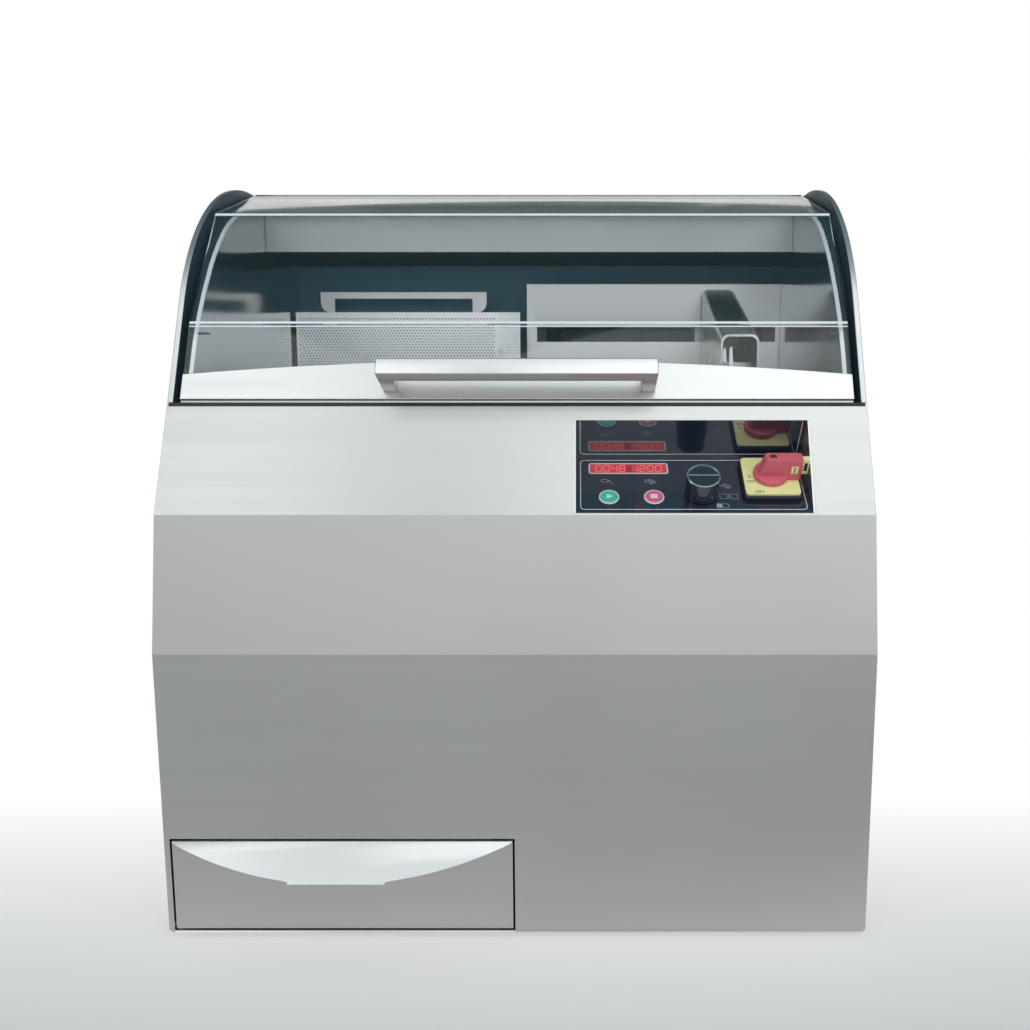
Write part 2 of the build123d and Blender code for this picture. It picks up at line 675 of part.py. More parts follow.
def rail_plane():
    """Plane through the hinge axis along the hood's top facet: local y forwards, local z outwards."""
    (y0, z0), (y1, z1) = hood_path()[2:]
    return Plane((0, *hinge), x_dir=(-1, 0, 0), z_dir=(0, -(z1 - z0), y1 - y0))


def local_block(plane, x, y, z):
    """A box between pairs of limits in a plane's own axes."""
    return plane * block(x, y, z)


def make_hood_glass():
    """Clear bent sheet of the hood."""
    return bent_sheet(hood_path(), HOOD_THICKNESS, -hood_half, hood_half)


def make_hood_strip():
    """Stainless strip along the hood's lower edge with an arched upper edge."""
    top = STRIP_END_HEIGHT + STRIP_RISE
    left_end = (-hood_half, STRIP_END_HEIGHT)
    right_end = (hood_half, STRIP_END_HEIGHT)
    straight = Polyline(left_end, (-hood_half, 0), (hood_half, 0), right_end)
    arch = ThreePointArc(left_end, (0, top), right_end)
    face = make_face([*straight.edges(), *arch.edges()])
    return extrude(hood_plane() * face, amount=STRIP_THICKNESS)


def make_hood_handle():
    """Square bar on two legs, standing out from the strip."""
    half = HANDLE_LENGTH / 2
    base = STRIP_THICKNESS
    outer = base + HANDLE_FINGER_GAP + HANDLE_BAR
    rise = (HANDLE_OFFSET, HANDLE_OFFSET + HANDLE_BAR)
    handle = local_block(hood_plane(), (-half, half), rise, (base, outer))
    gap = (-half + HANDLE_BAR, half - HANDLE_BAR)
    return handle - local_block(hood_plane(), gap, (0, 2 * rise[1]), (0, base + HANDLE_FINGER_GAP))


def make_hood_hinge_rail():
    """Round rail along the hood's rear edge, with a seat for the sheet, a clamp flange and end bores."""
    plane = rail_plane()
    half = hood_half - LOOSE_GAP
    rail = rod_x(RAIL_RADIUS, -half, half, hinge)
    rail += local_block(plane, (-half, half), (0, RAIL_FLANGE), (LOOSE_GAP, RAIL_SEAT))
    past = half + CUT_OVERRUN
    rail -= local_block(plane, (-past, past), (0, RAIL_FLANGE + CUT_OVERRUN), (RAIL_SEAT, 2 * RAIL_RADIUS))
    for side in (-1, 1):
        ends = sorted((side * (hood_half - HINGE_PIN_REACH - LOOSE_GAP), side * (hood_half + LOOSE_GAP)))
        rail -= rod_x(HINGE_PIN_RADIUS + RUNNING_GAP, *ends, hinge)
    return rail


def make_hood_bumpers():
    """Rubber tabs under the crease that the closed hood rests on."""
    (y0, z0), (y1, z1) = hood_path()[:2]
    high = hypot(y1 - y0, z1 - z0) - BUMPER_SIZE / 2
    touch = tangent_point(facet_end, arc_centre, CHEEK_RADIUS)
    lean = atan2(touch[1] - facet_end[1], touch[0] - facet_end[0])
    crease_inset = (y1 - facet_end[0]) * sin(lean) - (z1 - facet_end[1]) * cos(lean)
    deep = -LINER_SETBACK + crease_inset + SLIDE_GAP
    bumpers = Part()
    for side in (-1, 1):
        ends = sorted((side * (hood_half - BUMPER_SIZE), side * hood_half))
        bumpers += local_block(hood_plane(), ends, (high - BUMPER_SIZE, high), (deep, -HOOD_THICKNESS))
    return bumpers


def make_drawer_box():
    """Open crumb tray behind the drawer front."""
    x = (box_left, box_right)
    y = (SHEET, SHEET + DRAWER_LENGTH)
    z = (DRAWER_BOX_RISE, DRAWER_BOX_RISE + DRAWER_BOX_HEIGHT)
    inside = block((x[0] + SHEET, x[1] - SHEET), (y[0] + SHEET, y[1] - SHEET), (z[0] + SHEET, z[1] + SHEET))
    return block(x, y, z) - inside


def make_drawer_front():
    """Flat front of the crumb drawer."""
    return block((drawer_left, drawer_right), (0, SHEET), (drawer_low, drawer_high))


def make_drawer_lip():
    """Half-moon pull sloping forwards and down from the drawer front's top edge, with a middle tab."""
    slope = radians(LIP_SLOPE)
    middle = (drawer_left + drawer_right) / 2
    plane = Plane((middle, 0, drawer_high), x_dir=(1, 0, 0), z_dir=(0, sin(slope), -cos(slope)))
    half = LIP_WIDTH / 2
    chord = Line((-half, 0), (half, 0))
    arc = ThreePointArc((-half, 0), (0, LIP_SAGITTA), (half, 0))
    face = make_face([*chord.edges(), *arc.edges()])
    tab_drop = LIP_SAGITTA + LIP_TAB_DROP
    face += Pos(0, tab_drop / 2) * Rectangle(LIP_TAB_WIDTH, tab_drop)
    lip = extrude(plane * face, amount=LIP_SHEET)
    return lip - block((drawer_left, drawer_right), (0, 4 * LIP_SHEET), (0, 2 * drawer_high))


def make_drawer_runners():
    """Two angle runners on the base that the crumb tray slides in."""
    runners = Part()
    y = (3 * SHEET, SHEET + DRAWER_LENGTH)
    for edge, side in ((box_left, -1), (box_right, 1)):
        near = edge + side * SLIDE_GAP
        wall = sorted((near, near + side * RUNNER_WIDTH))
        ledge = sorted((edge - side * RUNNER_WIDTH, near + side * RUNNER_WIDTH))
        runners += block(wall, y, (0, RUNNER_HEIGHT)) + block(ledge, y, (0, DRAWER_BOX_RISE - SLIDE_GAP))
    return runners


def make_crumb_chute():
    """Sloping sheet that leads crumbs from the blade into the drawer, hung on the inner frame plate."""
    low_x = box_right - RUNNER_WIDTH
    profile = [
        (frame_left, CHUTE_HIGH + FRAME_FOOT), (frame_left - SHEET, CHUTE_HIGH + FRAME_FOOT),
        (frame_left - SHEET, CHUTE_HIGH), (low_x, CHUTE_LOW),
        (low_x, CHUTE_LOW - SHEET), (frame_left, CHUTE_HIGH - SHEET),
    ]
    outline = Polyline(*[(x, CHUTE_FRONT, z) for x, z in profile], close=True)
    front = extrude(make_face(outline), amount=CHUTE_BACK - CHUTE_FRONT, dir=(0, 1, 0))
    before_frame = (CHUTE_FRONT - CUT_OVERRUN, FRAME_FRONT)
    return front - block((frame_left - SHEET, frame_left), before_frame, (CHUTE_HIGH, 2 * CHUTE_HIGH))


def guard_span():
    """Left and right ends of the guard plate."""
    return -liner_inner + LOOSE_GAP, slot_left


def make_guard_plate():
    """Perforated plate behind the slices, standing on the floor."""
    low = floor_top + SLIDE_GAP
    plate = block(guard_span(), (guard_front, guard_front + GUARD_SHEET), (low, floor_top + GUARD_HEIGHT))
    for x, z in guard_pin_spots():
        plate -= rod_y(GUARD_PIN_RADIUS, guard_front - SHEET, guard_front + 2 * SHEET, x, z)
    return plate


def make_guard_handle():
    """Flat pull bracket on the guard plate's top edge, with a finger window."""
    middle = sum(guard_span()) / 2 + GUARD_HANDLE_SHIFT
    top = floor_top + GUARD_HEIGHT + GUARD_HANDLE_HEIGHT
    high = GUARD_HANDLE_HEIGHT + GUARD_HANDLE_FOOT
    plane = Plane((middle, guard_front, top), x_dir=(1, 0, 0), z_dir=(0, -1, 0))
    face = Pos(0, -high / 2) * Rectangle(GUARD_HANDLE_LENGTH, high)
    face = fillet(face.vertices().group_by(Axis.Y)[0], GUARD_HANDLE_CORNER)
    window_high = GUARD_HANDLE_HEIGHT - GUARD_HANDLE_BAR
    window = Rectangle(GUARD_HANDLE_LENGTH - 2 * GUARD_HANDLE_SIDE, window_high)
    face -= Pos(0, -GUARD_HANDLE_BAR - window_high / 2) * window
    return extrude(plane * face, amount=SHEET)


def make_guard_pins():
    """Two pins through the guard plate that run in its rails."""
    pins = Part()
    back = guard_front + GUARD_SHEET + SLIDE_GAP + GUARD_RAIL_WIDTH
    for (x, z), proud in zip(guard_pin_spots(), (LOOSE_GAP, GUARD_PIN_PROUD)):
        pins += rod_y(GUARD_PIN_RADIUS - RUNNING_GAP, guard_front - proud, back, x, z)
    return pins


def panel_plane():
    """Plane of the pocket's lower face: local y up the face, local z outwards, origin on its lower edge."""
    slope = radians(POCKET_SLOPE)
    return Plane((pocket_left, *pocket_path()[0]), x_dir=(1, 0, 0), z_dir=(0, -sin(slope), cos(slope)))


def panel_rod(radius, place, z0, z1):
    """A round bar square to the pocket's lower face."""
    return panel_plane() * rod_z(radius, z0, z1, *place)


def panel_box(place, size, z0, z1):
    """A box square to the pocket's lower face."""
    x = (place[0] - size[0] / 2, place[0] + size[0] / 2)
    y = (place[1] - size[1] / 2, place[1] + size[1] / 2)
    return local_block(panel_plane(), x, y, (z0, z1))


def control_holes():
    """What passes through the fascia and the pan: button caps, knob shaft and isolator body."""
    deep = -FASCIA_SHEET - 2 * SHEET
    holes = panel_rod(BUTTON_RADIUS + SLIDE_GAP, START_PLACE, deep, SHEET)
    holes += panel_rod(BUTTON_RADIUS + SLIDE_GAP, STOP_PLACE, deep, SHEET)
    holes += panel_rod(KNOB_SHAFT_RADIUS + RUNNING_GAP, KNOB_PLACE, deep, SHEET)
    body = ISOLATOR_BODY + 2 * SLIDE_GAP
    return holes + panel_box(ISOLATOR_PLACE, (body, body), deep, SHEET)


def make_control_pan():
    """Folded steel pocket that carries the controls."""
    pan = pocket_envelope(FASCIA_SHEET + SHEET, pocket_left - SHEET, pocket_right + SHEET)
    pan -= pocket_envelope(FASCIA_SHEET, pocket_left, pocket_right)
    return pan - control_holes()


def make_control_fascia():
    """Black gloss overlay on both faces of the pocket."""
    fascia = bent_sheet(pocket_path(), FASCIA_SHEET, pocket_left, pocket_right)
    fascia -= panel_box(DISPLAY_CENTRE, DISPLAY_SIZE, -FASCIA_SHEET, SHEET)
    return fascia - control_holes()


def make_display_window():
    """Red window of the display, let into the fascia."""
    size = (DISPLAY_SIZE[0] - 2 * RUNNING_GAP, DISPLAY_SIZE[1] - 2 * RUNNING_GAP)
    return panel_box(DISPLAY_CENTRE, size, -FASCIA_SHEET, SLIDE_GAP)


def make_button_bezels():
    """Light rings round the two buttons."""
    rings = Part()
    for place in (START_PLACE, STOP_PLACE):
        rings += panel_rod(BEZEL_RADIUS, place, 0, BEZEL_HEIGHT) - panel_rod(
            BUTTON_RADIUS + SLIDE_GAP, place, -SHEET, BEZEL_HEIGHT + SHEET)
    return rings


def make_button(place):
    """Push button: cap in its ring and a stem down to the switch."""
    seat = -FASCIA_SHEET - SHEET
    stem_end = -BOARD_DROP + BUTTON_TRAVEL + 2 * LOOSE_GAP
    cap = panel_rod(BUTTON_RADIUS, place, seat, BUTTON_HEIGHT)
    return cap + panel_rod(BUTTON_STEM_RADIUS, place, stem_end, seat)


def make_control_board():
    """Circuit board on posts behind the pan, with the button switches and the knob's encoder."""
    top = -BOARD_DROP
    left = START_PLACE[0] - 2 * BEZEL_RADIUS
    right = KNOB_PLACE[0] + KNOB_RADIUS
    low = START_PLACE[1] - 2 * BUTTON_RADIUS
    high = DISPLAY_CENTRE[1] + DISPLAY_SIZE[1] / 2
    board = local_block(panel_plane(), (left, right), (low, high), (top - BOARD_SHEET, top))
    for x in (left + BUTTON_RADIUS, right - BUTTON_RADIUS):
        for y in (low + BUTTON_STEM_RADIUS, high - BUTTON_STEM_RADIUS):
            board += panel_rod(BUTTON_STEM_RADIUS, (x, y), top, -FASCIA_SHEET - SHEET)
    for place in (START_PLACE, STOP_PLACE):
        board += panel_box(place, (BUTTON_RADIUS, BUTTON_RADIUS), top, top + LOOSE_GAP)
    encoder = KNOB_RADIUS
    board += panel_box(KNOB_PLACE, (encoder, encoder), top, top + BOARD_DROP / 2)
    return board - panel_rod(KNOB_SHAFT_RADIUS + RUNNING_GAP, KNOB_PLACE, top, 0)


def make_thickness_knob():
    """Round knob on its shaft."""
    top = KNOB_LIFT + KNOB_HEIGHT
    knob = panel_rod(KNOB_RADIUS, KNOB_PLACE, KNOB_LIFT, top)
    return knob + panel_rod(KNOB_SHAFT_RADIUS, KNOB_PLACE, -BOARD_DROP + LOOSE_GAP, KNOB_LIFT)


def make_isolator_base():
    """Black base of the isolator with its switch body behind the pan."""
    size = (ISOLATOR_SIZE, ISOLATOR_SIZE)
    base = panel_box(ISOLATOR_PLACE, size, 0, ISOLATOR_BASE_HEIGHT)
    base += panel_box(ISOLATOR_PLACE, (ISOLATOR_BODY, ISOLATOR_BODY), -ISOLATOR_BODY_DEPTH, 0)
    return base - panel_rod(ISOLATOR_SHAFT_RADIUS + RUNNING_GAP, ISOLATOR_PLACE,
                            -ISOLATOR_BODY_DEPTH / 2, ISOLATOR_BASE_HEIGHT)


def make_isolator_plate():
    """Yellow plate on the isolator's base."""
    low = ISOLATOR_BASE_HEIGHT
    top = low + ISOLATOR_PLATE_SHEET
    size = (ISOLATOR_PLATE_SIZE, ISOLATOR_PLATE_SIZE)
    plate = panel_box(ISOLATOR_PLACE, size, low, top)
    return plate - panel_rod(ISOLATOR_SHAFT_RADIUS + SLIDE_GAP, ISOLATOR_PLACE, low, top)


def make_isolator_handle():
    """Red turning handle with a round hub and a grip that points to the right."""
    low = ISOLATOR_BASE_HEIGHT + ISOLATOR_PLATE_SHEET + SLIDE_GAP
    handle = panel_rod(ISOLATOR_HUB_RADIUS, ISOLATOR_PLACE, low, low + ISOLATOR_HUB_HEIGHT)
    x, y = ISOLATOR_PLACE
    middle = x - ISOLATOR_GRIP_BACK + ISOLATOR_GRIP_LENGTH / 2
    grip = (ISOLATOR_GRIP_LENGTH, ISOLATOR_GRIP_WIDTH)
    handle += panel_box((middle, y), grip, low, low + ISOLATOR_GRIP_HEIGHT)
    deep = -ISOLATOR_BODY_DEPTH / 2 + LOOSE_GAP
    return handle + panel_rod(ISOLATOR_SHAFT_RADIUS, ISOLATOR_PLACE, deep, low)


def make_inner_frame_plate():
    """Upright plate on the base that carries the blade's bearing."""
    plate = block((frame_left, frame_right), (FRAME_FRONT, frame_back), (0, floor_under))
    plate += block((frame_left, frame_right + FRAME_FOOT), (FRAME_FRONT, frame_back), (0, FRAME_SHEET))
    through = (frame_left - CUT_OVERRUN, frame_right + CUT_OVERRUN)
    return plate - rod_x(SHAFT_RADIUS + LOOSE_GAP, *through, orbit)


def make_bearing_housing():
    """Bearing housing on the inner frame plate, with the fixed sun pulley turned on its nose."""
    housing = rod_x(HOUSING_RADIUS, planet_belt_right, frame_left, orbit)
    housing += rod_x(SUN_RADIUS, planet_belt_left, planet_belt_right, orbit)
    through = (planet_belt_left - CUT_OVERRUN, frame_left + CUT_OVERRUN)
    return housing - rod_x(SHAFT_RADIUS + RUNNING_GAP, *through, orbit)


def make_orbit_shaft():
    """Main shaft with its driven pulley."""
    shaft = rod_x(SHAFT_RADIUS, arm_left, drive_right, orbit)
    return shaft + rod_x(ORBIT_PULLEY_RADIUS, drive_left, drive_right, orbit)


def make_blade_arm():
    """Arm that carries the blade round the main shaft, with a counterweight opposite."""
    hub = ARM_WIDTH / 2 + SHAFT_RADIUS / 2
    weight = (ORBIT_DEPTH, ORBIT_HEIGHT + COUNTERWEIGHT_REACH)
    face = belt_outline(orbit, hub, planet, ARM_WIDTH / 2)
    face += belt_outline(orbit, hub, weight, COUNTERWEIGHT_RADIUS)
    arm = extrude(Plane((arm_left, 0, 0), x_dir=(0, 1, 0), z_dir=(1, 0, 0)) * face, amount=ARM_THICKNESS)
    through = (arm_left - CUT_OVERRUN, arm_right + CUT_OVERRUN)
    arm -= rod_x(SHAFT_RADIUS + RUNNING_GAP, *through, orbit)
    return arm - rod_x(SPINDLE_RADIUS + RUNNING_GAP, *through, planet)


def make_planet_belt():
    """Toothed belt from the fixed sun pulley to the blade's pulley."""
    middle = (planet_belt_left + planet_belt_right) / 2
    plane = Plane((middle, 0, 0), x_dir=(0, 1, 0), z_dir=(1, 0, 0))
    return belt(plane, orbit, SUN_RADIUS + SLIDE_GAP, planet, PLANET_RADIUS + SLIDE_GAP,
                PLANET_BELT_WIDTH - 2 * LOOSE_GAP)


def make_blade_disc():
    """Round slicing blade with a ground edge."""
    left = blade_right - BLADE_THICKNESS
    disc = rod_x(BLADE_RADIUS, left, blade_right, planet)
    disc = chamfer(disc.edges().filter_by(GeomType.CIRCLE), BLADE_EDGE_DEPTH, BLADE_EDGE_WIDTH)
    return disc - rod_x(SPINDLE_RADIUS + RUNNING_GAP, left - CUT_OVERRUN, blade_right + CUT_OVERRUN, planet)


def make_blade_spindle():
    """Blade spindle with clamp flange, nut and belt pulley."""
    left = blade_right - BLADE_THICKNESS
    nut_left = left - BLADE_TO_ARM / 2
    spindle = rod_x(SPINDLE_RADIUS, nut_left, planet_belt_right, planet)
    spindle += rod_x(FLANGE_RADIUS, blade_right, blade_right + BLADE_TO_ARM / 2, planet)
    spindle += rod_x(FLANGE_RADIUS, nut_left, left, planet)
    return spindle + rod_x(PLANET_RADIUS, planet_belt_left, planet_belt_right, planet)


def make_drive_motor():
    """Main motor on its foot, with a bore for its shaft."""
    left = drive_right + FRAME_TO_BELT
    right = left + MOTOR_LENGTH
    body = rod_x(MOTOR_RADIUS, left, right, motor)
    half = MOTOR_FOOT_WIDTH / 2
    foot = (MOTOR_DEPTH - half, MOTOR_DEPTH + half)
    body += block((left, right), foot, (0, MOTOR_HEIGHT - MOTOR_RADIUS / 2))
    bore = (left - CUT_OVERRUN, left + MOTOR_LENGTH / 2)
    return body - rod_x(MOTOR_SHAFT_RADIUS + RUNNING_GAP, *bore, motor)


def make_motor_pulley():
    """Motor shaft with its pulley."""
    left = drive_right + FRAME_TO_BELT
    shaft = rod_x(MOTOR_SHAFT_RADIUS, drive_left, left + MOTOR_LENGTH / 2 - LOOSE_GAP, motor)
    return shaft + rod_x(MOTOR_PULLEY_RADIUS, drive_left, drive_right, motor)


def make_drive_belt():
    """Belt from the motor pulley to the main shaft."""
    middle = (drive_left + drive_right) / 2
    plane = Plane((middle, 0, 0), x_dir=(0, 1, 0), z_dir=(1, 0, 0))
    return belt(plane, orbit, ORBIT_PULLEY_RADIUS + SLIDE_GAP, motor, MOTOR_PULLEY_RADIUS + SLIDE_GAP,
                DRIVE_BELT_WIDTH - 2 * LOOSE_GAP)


def rod_heights():
    """Heights of the lower and the upper guide rod."""
    return slot_middle - ROD_SPACING / 2, slot_middle + ROD_SPACING / 2


def make_guide_rods():
    """Two rods that the gripper carriage runs on."""
    rods = Part()
    ends = (rod_stop_left - ROD_BLOCK_WIDTH, rod_stop_right + ROD_BLOCK_WIDTH)
    for z in rod_heights():
        rods += rod_x(ROD_RADIUS, *ends, (rod_depth, z))
    return rods


def make_rod_blocks():
    """Two blocks on the bay wall that hold the rods' ends."""
    blocks = Part()
    low, high = rod_heights()
    z = (low - 2 * ROD_RADIUS, high + 2 * ROD_RADIUS)
    for left in (rod_stop_left - ROD_BLOCK_WIDTH, rod_stop_right):
        blocks += block((left, left + ROD_BLOCK_WIDTH), (rod_depth - 2 * ROD_RADIUS, wall_front), z)
    for height in rod_heights():
        reach = liner_inner
        blocks -= rod_x(ROD_RADIUS + RUNNING_GAP, -reach, reach, (rod_depth, height))
    return blocks


def make_gripper_carriage():
    """Sliding carriage with its belt tab and the bracket that passes through the panel's slot."""
    y = (rod_depth - CARRIAGE_DEPTH / 2, rod_depth + CARRIAGE_DEPTH / 2)
    half = CARRIAGE_HEIGHT / 2
    carriage = block((carriage_left, carriage_right), y, (slot_middle - half, slot_middle + half))
    through = (carriage_left - CUT_OVERRUN, carriage_right + CUT_OVERRUN)
    for z in rod_heights():
        carriage -= rod_x(ROD_RADIUS + RUNNING_GAP, *through, (rod_depth, z))
    tab_half = FEED_PULLEY_RADIUS - LOOSE_GAP
    carriage += block((belt_tab_left, belt_tab_right), (y[1], feed_belt_back),
                      (slot_middle - tab_half, slot_middle + tab_half))
    arm_half = GRIPPER_WIDTH / 4
    arm_high = FEED_SLOT_HEIGHT / 2 - 3 * LOOSE_GAP
    plate_back = gripper_back - CARRIAGE_DEPTH + GRIPPER_SHEET
    plate_front = plate_back - GRIPPER_SHEET
    carriage += block((gripper_middle - arm_half, gripper_middle + arm_half), (plate_front, y[0]),
                      (slot_middle - arm_high, slot_middle + arm_high))
    inner = GRIPPER_WIDTH / 2 - GRIPPER_SHEET
    return carriage + block((gripper_middle - inner, gripper_middle + inner), (plate_front, plate_back),
                            (slot_middle - FEED_SLOT_HEIGHT, slot_middle + FEED_SLOT_HEIGHT))


def gripper_block(inset, overrun):
    """The gripper cover's outline as a block, drawn in by an inset and open at its ends by an overrun."""
    low = floor_top + GRIPPER_BOTTOM_RISE - overrun
    rise = (GRIPPER_BACK_RISE - GRIPPER_FRONT_RISE) / (gripper_back - gripper_front)
    drop = inset * sqrt(1 + rise**2)
    front_top = floor_top + GRIPPER_FRONT_RISE - drop - overrun * rise
    back_top = floor_top + GRIPPER_BACK_RISE - drop + overrun * rise
    outline = [
        (gripper_front - overrun, low), (gripper_front - overrun, front_top),
        (gripper_back + overrun, back_top), (gripper_back + overrun, low),
    ]
    solid = side_prism(outline, gripper_left + inset, gripper_right - inset)
    length = hypot(gripper_back - gripper_front + 2 * overrun, back_top - front_top)
    slanted = solid.edges().filter_by(lambda edge: abs(edge.length - length) < SLIDE_GAP and
                                      edge.center().Z > front_top)
    return fillet(slanted, GRIPPER_CORNER - inset)


def make_gripper_cover():
    """Inverted trough over the claws, with claw slots in its left wall and two webs for the claw shaft."""
    cover = gripper_block(0, 0) - gripper_block(GRIPPER_SHEET, 4 * GRIPPER_SHEET)
    low = floor_top + CLAW_SLOT_LOW
    high = floor_top + CLAW_SLOT_HIGH
    for depth in CLAW_SLOT_DEPTHS:
        y = gripper_front + depth
        cover -= block((gripper_left - CUT_OVERRUN, gripper_left + 2 * GRIPPER_SHEET),
                       (y - CLAW_SLOT_WIDTH / 2, y + CLAW_SLOT_WIDTH / 2), (low, high))
    x, z = claw_axis
    reach = 3 * CLAW_SHAFT_RADIUS
    for y in claw_web_depths():
        cover += block((gripper_left + GRIPPER_SHEET / 2, gripper_right - GRIPPER_SHEET / 2),
                       (y - GRIPPER_SHEET, y + GRIPPER_SHEET), (z - reach, z + reach))
    return cover - rod_y(CLAW_SHAFT_RADIUS + RUNNING_GAP, gripper_front, gripper_back, x, z)


def claw_web_depths():
    """Depths of the two webs: between the first claws, and behind the last one."""
    first, second, last = CLAW_SLOT_DEPTHS
    return gripper_front + (first + second) / 2, gripper_front + last + (second - first) / 2


def make_gripper_claws():
    """Claw shaft with upright claws, turned to the left to bite into the loaf."""
    x, z = claw_axis
    y = (gripper_front + 2 * CLAW_THICKNESS, claw_web_depths()[1] + 2 * CLAW_THICKNESS)
    claws = rod_y(CLAW_SHAFT_RADIUS, *y, x, z)
    half = CLAW_THICKNESS / 2
    for depth in CLAW_SLOT_DEPTHS:
        middle = gripper_front + depth
        spike = [(x - half, z), (x + half, z), (x, z + CLAW_REACH), (x - half, z + CLAW_REACH - half)]
        outline = Polyline(*[(px, middle - half, pz) for px, pz in spike], close=True)
        claws += extrude(make_face(outline), amount=CLAW_THICKNESS, dir=(0, 1, 0))
    return claws


def make_feed_pulley(x, shaft_back):
    """Feed belt pulley on its shaft along Y."""
    pulley = rod_y(FEED_PULLEY_RADIUS, feed_belt_front, feed_belt_back, x, slot_middle)
    return pulley + rod_y(FEED_SHAFT_RADIUS, feed_belt_front, shaft_back, x, slot_middle)


def make_feed_belt():
    """Toothed belt that draws the gripper carriage along."""
    plane = Plane((0, feed_belt_front + FEED_BELT_WIDTH / 2, 0), x_dir=(1, 0, 0), z_dir=(0, -1, 0))
    radius = FEED_PULLEY_RADIUS + SLIDE_GAP
    return belt(plane, (feed_pulley_left, slot_middle), radius, (feed_pulley_right, slot_middle), radius,
                FEED_BELT_WIDTH - LOOSE_GAP)


def make_feed_motor():
    """Gear motor behind the bay wall that turns the left feed pulley."""
    half = FEED_MOTOR_SIZE / 2
    depth = (wall_back, wall_back + FEED_MOTOR_LENGTH)
    body = block((feed_pulley_left - half, feed_pulley_left + half), depth,
                 (slot_middle - half, slot_middle + half))
    bore = (wall_back - CUT_OVERRUN, motor_bore_end)
    return body - rod_y(FEED_SHAFT_RADIUS + RUNNING_GAP, *bore, feed_pulley_left, slot_middle)


def build_nodes():
    """Every piece of the slicer by name, in the bench frame."""
    return {
        "base_plate": make_base_plate(),
        "rubber_feet": make_rubber_feet(),
        "front_panel": make_front_panel(),
        "left_side_panel": make_side_panel(-1),
        "right_side_panel": make_side_panel(1),
        "rear_panel": make_rear_panel(),
        "left_cheek": make_cheek(-1),
        "right_cheek": make_cheek(1),
        "left_liner": make_liner(-1),
        "right_liner": make_liner(1),
        "top_cover": make_top_cover(),
        "left_floor": make_floor(-liner_inner, slot_left),
        "right_floor": make_floor(slot_right, liner_inner),
        "feed_back_panel": make_feed_back_panel(),
        "bay_wall": make_bay_wall(),
        "inner_frame_plate": make_inner_frame_plate(),
        "crumb_chute": make_crumb_chute(),
        "drawer_runners": make_drawer_runners(),
        "panel_screws": make_panel_screws(),
        "power_inlet": make_power_inlet(),
        "control_pan": make_control_pan(),
        "control_fascia": make_control_fascia(),
        "display_window": make_display_window(),
        "control_board": make_control_board(),
        "button_bezels": make_button_bezels(),
        "start_button": make_button(START_PLACE),
        "stop_button": make_button(STOP_PLACE),
        "thickness_knob": make_thickness_knob(),
        "isolator_base": make_isolator_base(),
        "isolator_plate": make_isolator_plate(),
        "isolator_handle": make_isolator_handle(),
        "hood_glass": make_hood_glass(),
        "hood_strip": make_hood_strip(),
        "hood_handle": make_hood_handle(),
        "hood_hinge_rail": make_hood_hinge_rail(),
        "hood_bumpers": make_hood_bumpers(),
        "drawer_box": make_drawer_box(),
        "drawer_front": make_drawer_front(),
        "drawer_lip": make_drawer_lip(),
        "guard_plate": make_guard_plate(),
        "guard_handle": make_guard_handle(),
        "guard_pins": make_guard_pins(),
        "bearing_housing": make_bearing_housing(),
        "orbit_shaft": make_orbit_shaft(),
        "blade_arm": make_blade_arm(),
        "planet_belt": make_planet_belt(),
        "blade_disc": make_blade_disc(),
        "blade_spindle": make_blade_spindle(),
        "drive_motor": make_drive_motor(),
        "motor_pulley": make_motor_pulley(),
        "drive_belt": make_drive_belt(),
        "guide_rods": make_guide_rods(),
        "rod_blocks": make_rod_blocks(),
        "gripper_carriage": make_gripper_carriage(),
        "gripper_cover": make_gripper_cover(),
        "gripper_claws": make_gripper_claws(),
        "feed_belt": make_feed_belt(),
        "feed_drive_pulley": make_feed_pulley(feed_pulley_left, motor_bore_end - LOOSE_GAP),
        "feed_idler_pulley": make_feed_pulley(feed_pulley_right, wall_back),
        "feed_motor": make_feed_motor(),
    }


os.makedirs("parts", exist_ok=True)
middle_depth = (body_depth + REAR_PROUD - lip_reach) / 2
to_table = Pos(0, -middle_depth, FOOT_HEIGHT + BASE_SHEET)
for name, solid in build_nodes().items():
    export_step(to_table * solid, f"parts/{name}.step")
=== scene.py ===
"""Looks of a counter-top bread slicer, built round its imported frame.

Sizes in the classes are millimetres in the slicer's bench frame: X to the right, depth back from the front
panel's lowest facet, height up from the casing's lower edge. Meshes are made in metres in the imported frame.
"""

import json
import logging
import math
from collections.abc import Callable, Iterable
from dataclasses import dataclass
from enum import Enum
from functools import cache

import bmesh
import bpy
from mathutils import Matrix, Vector


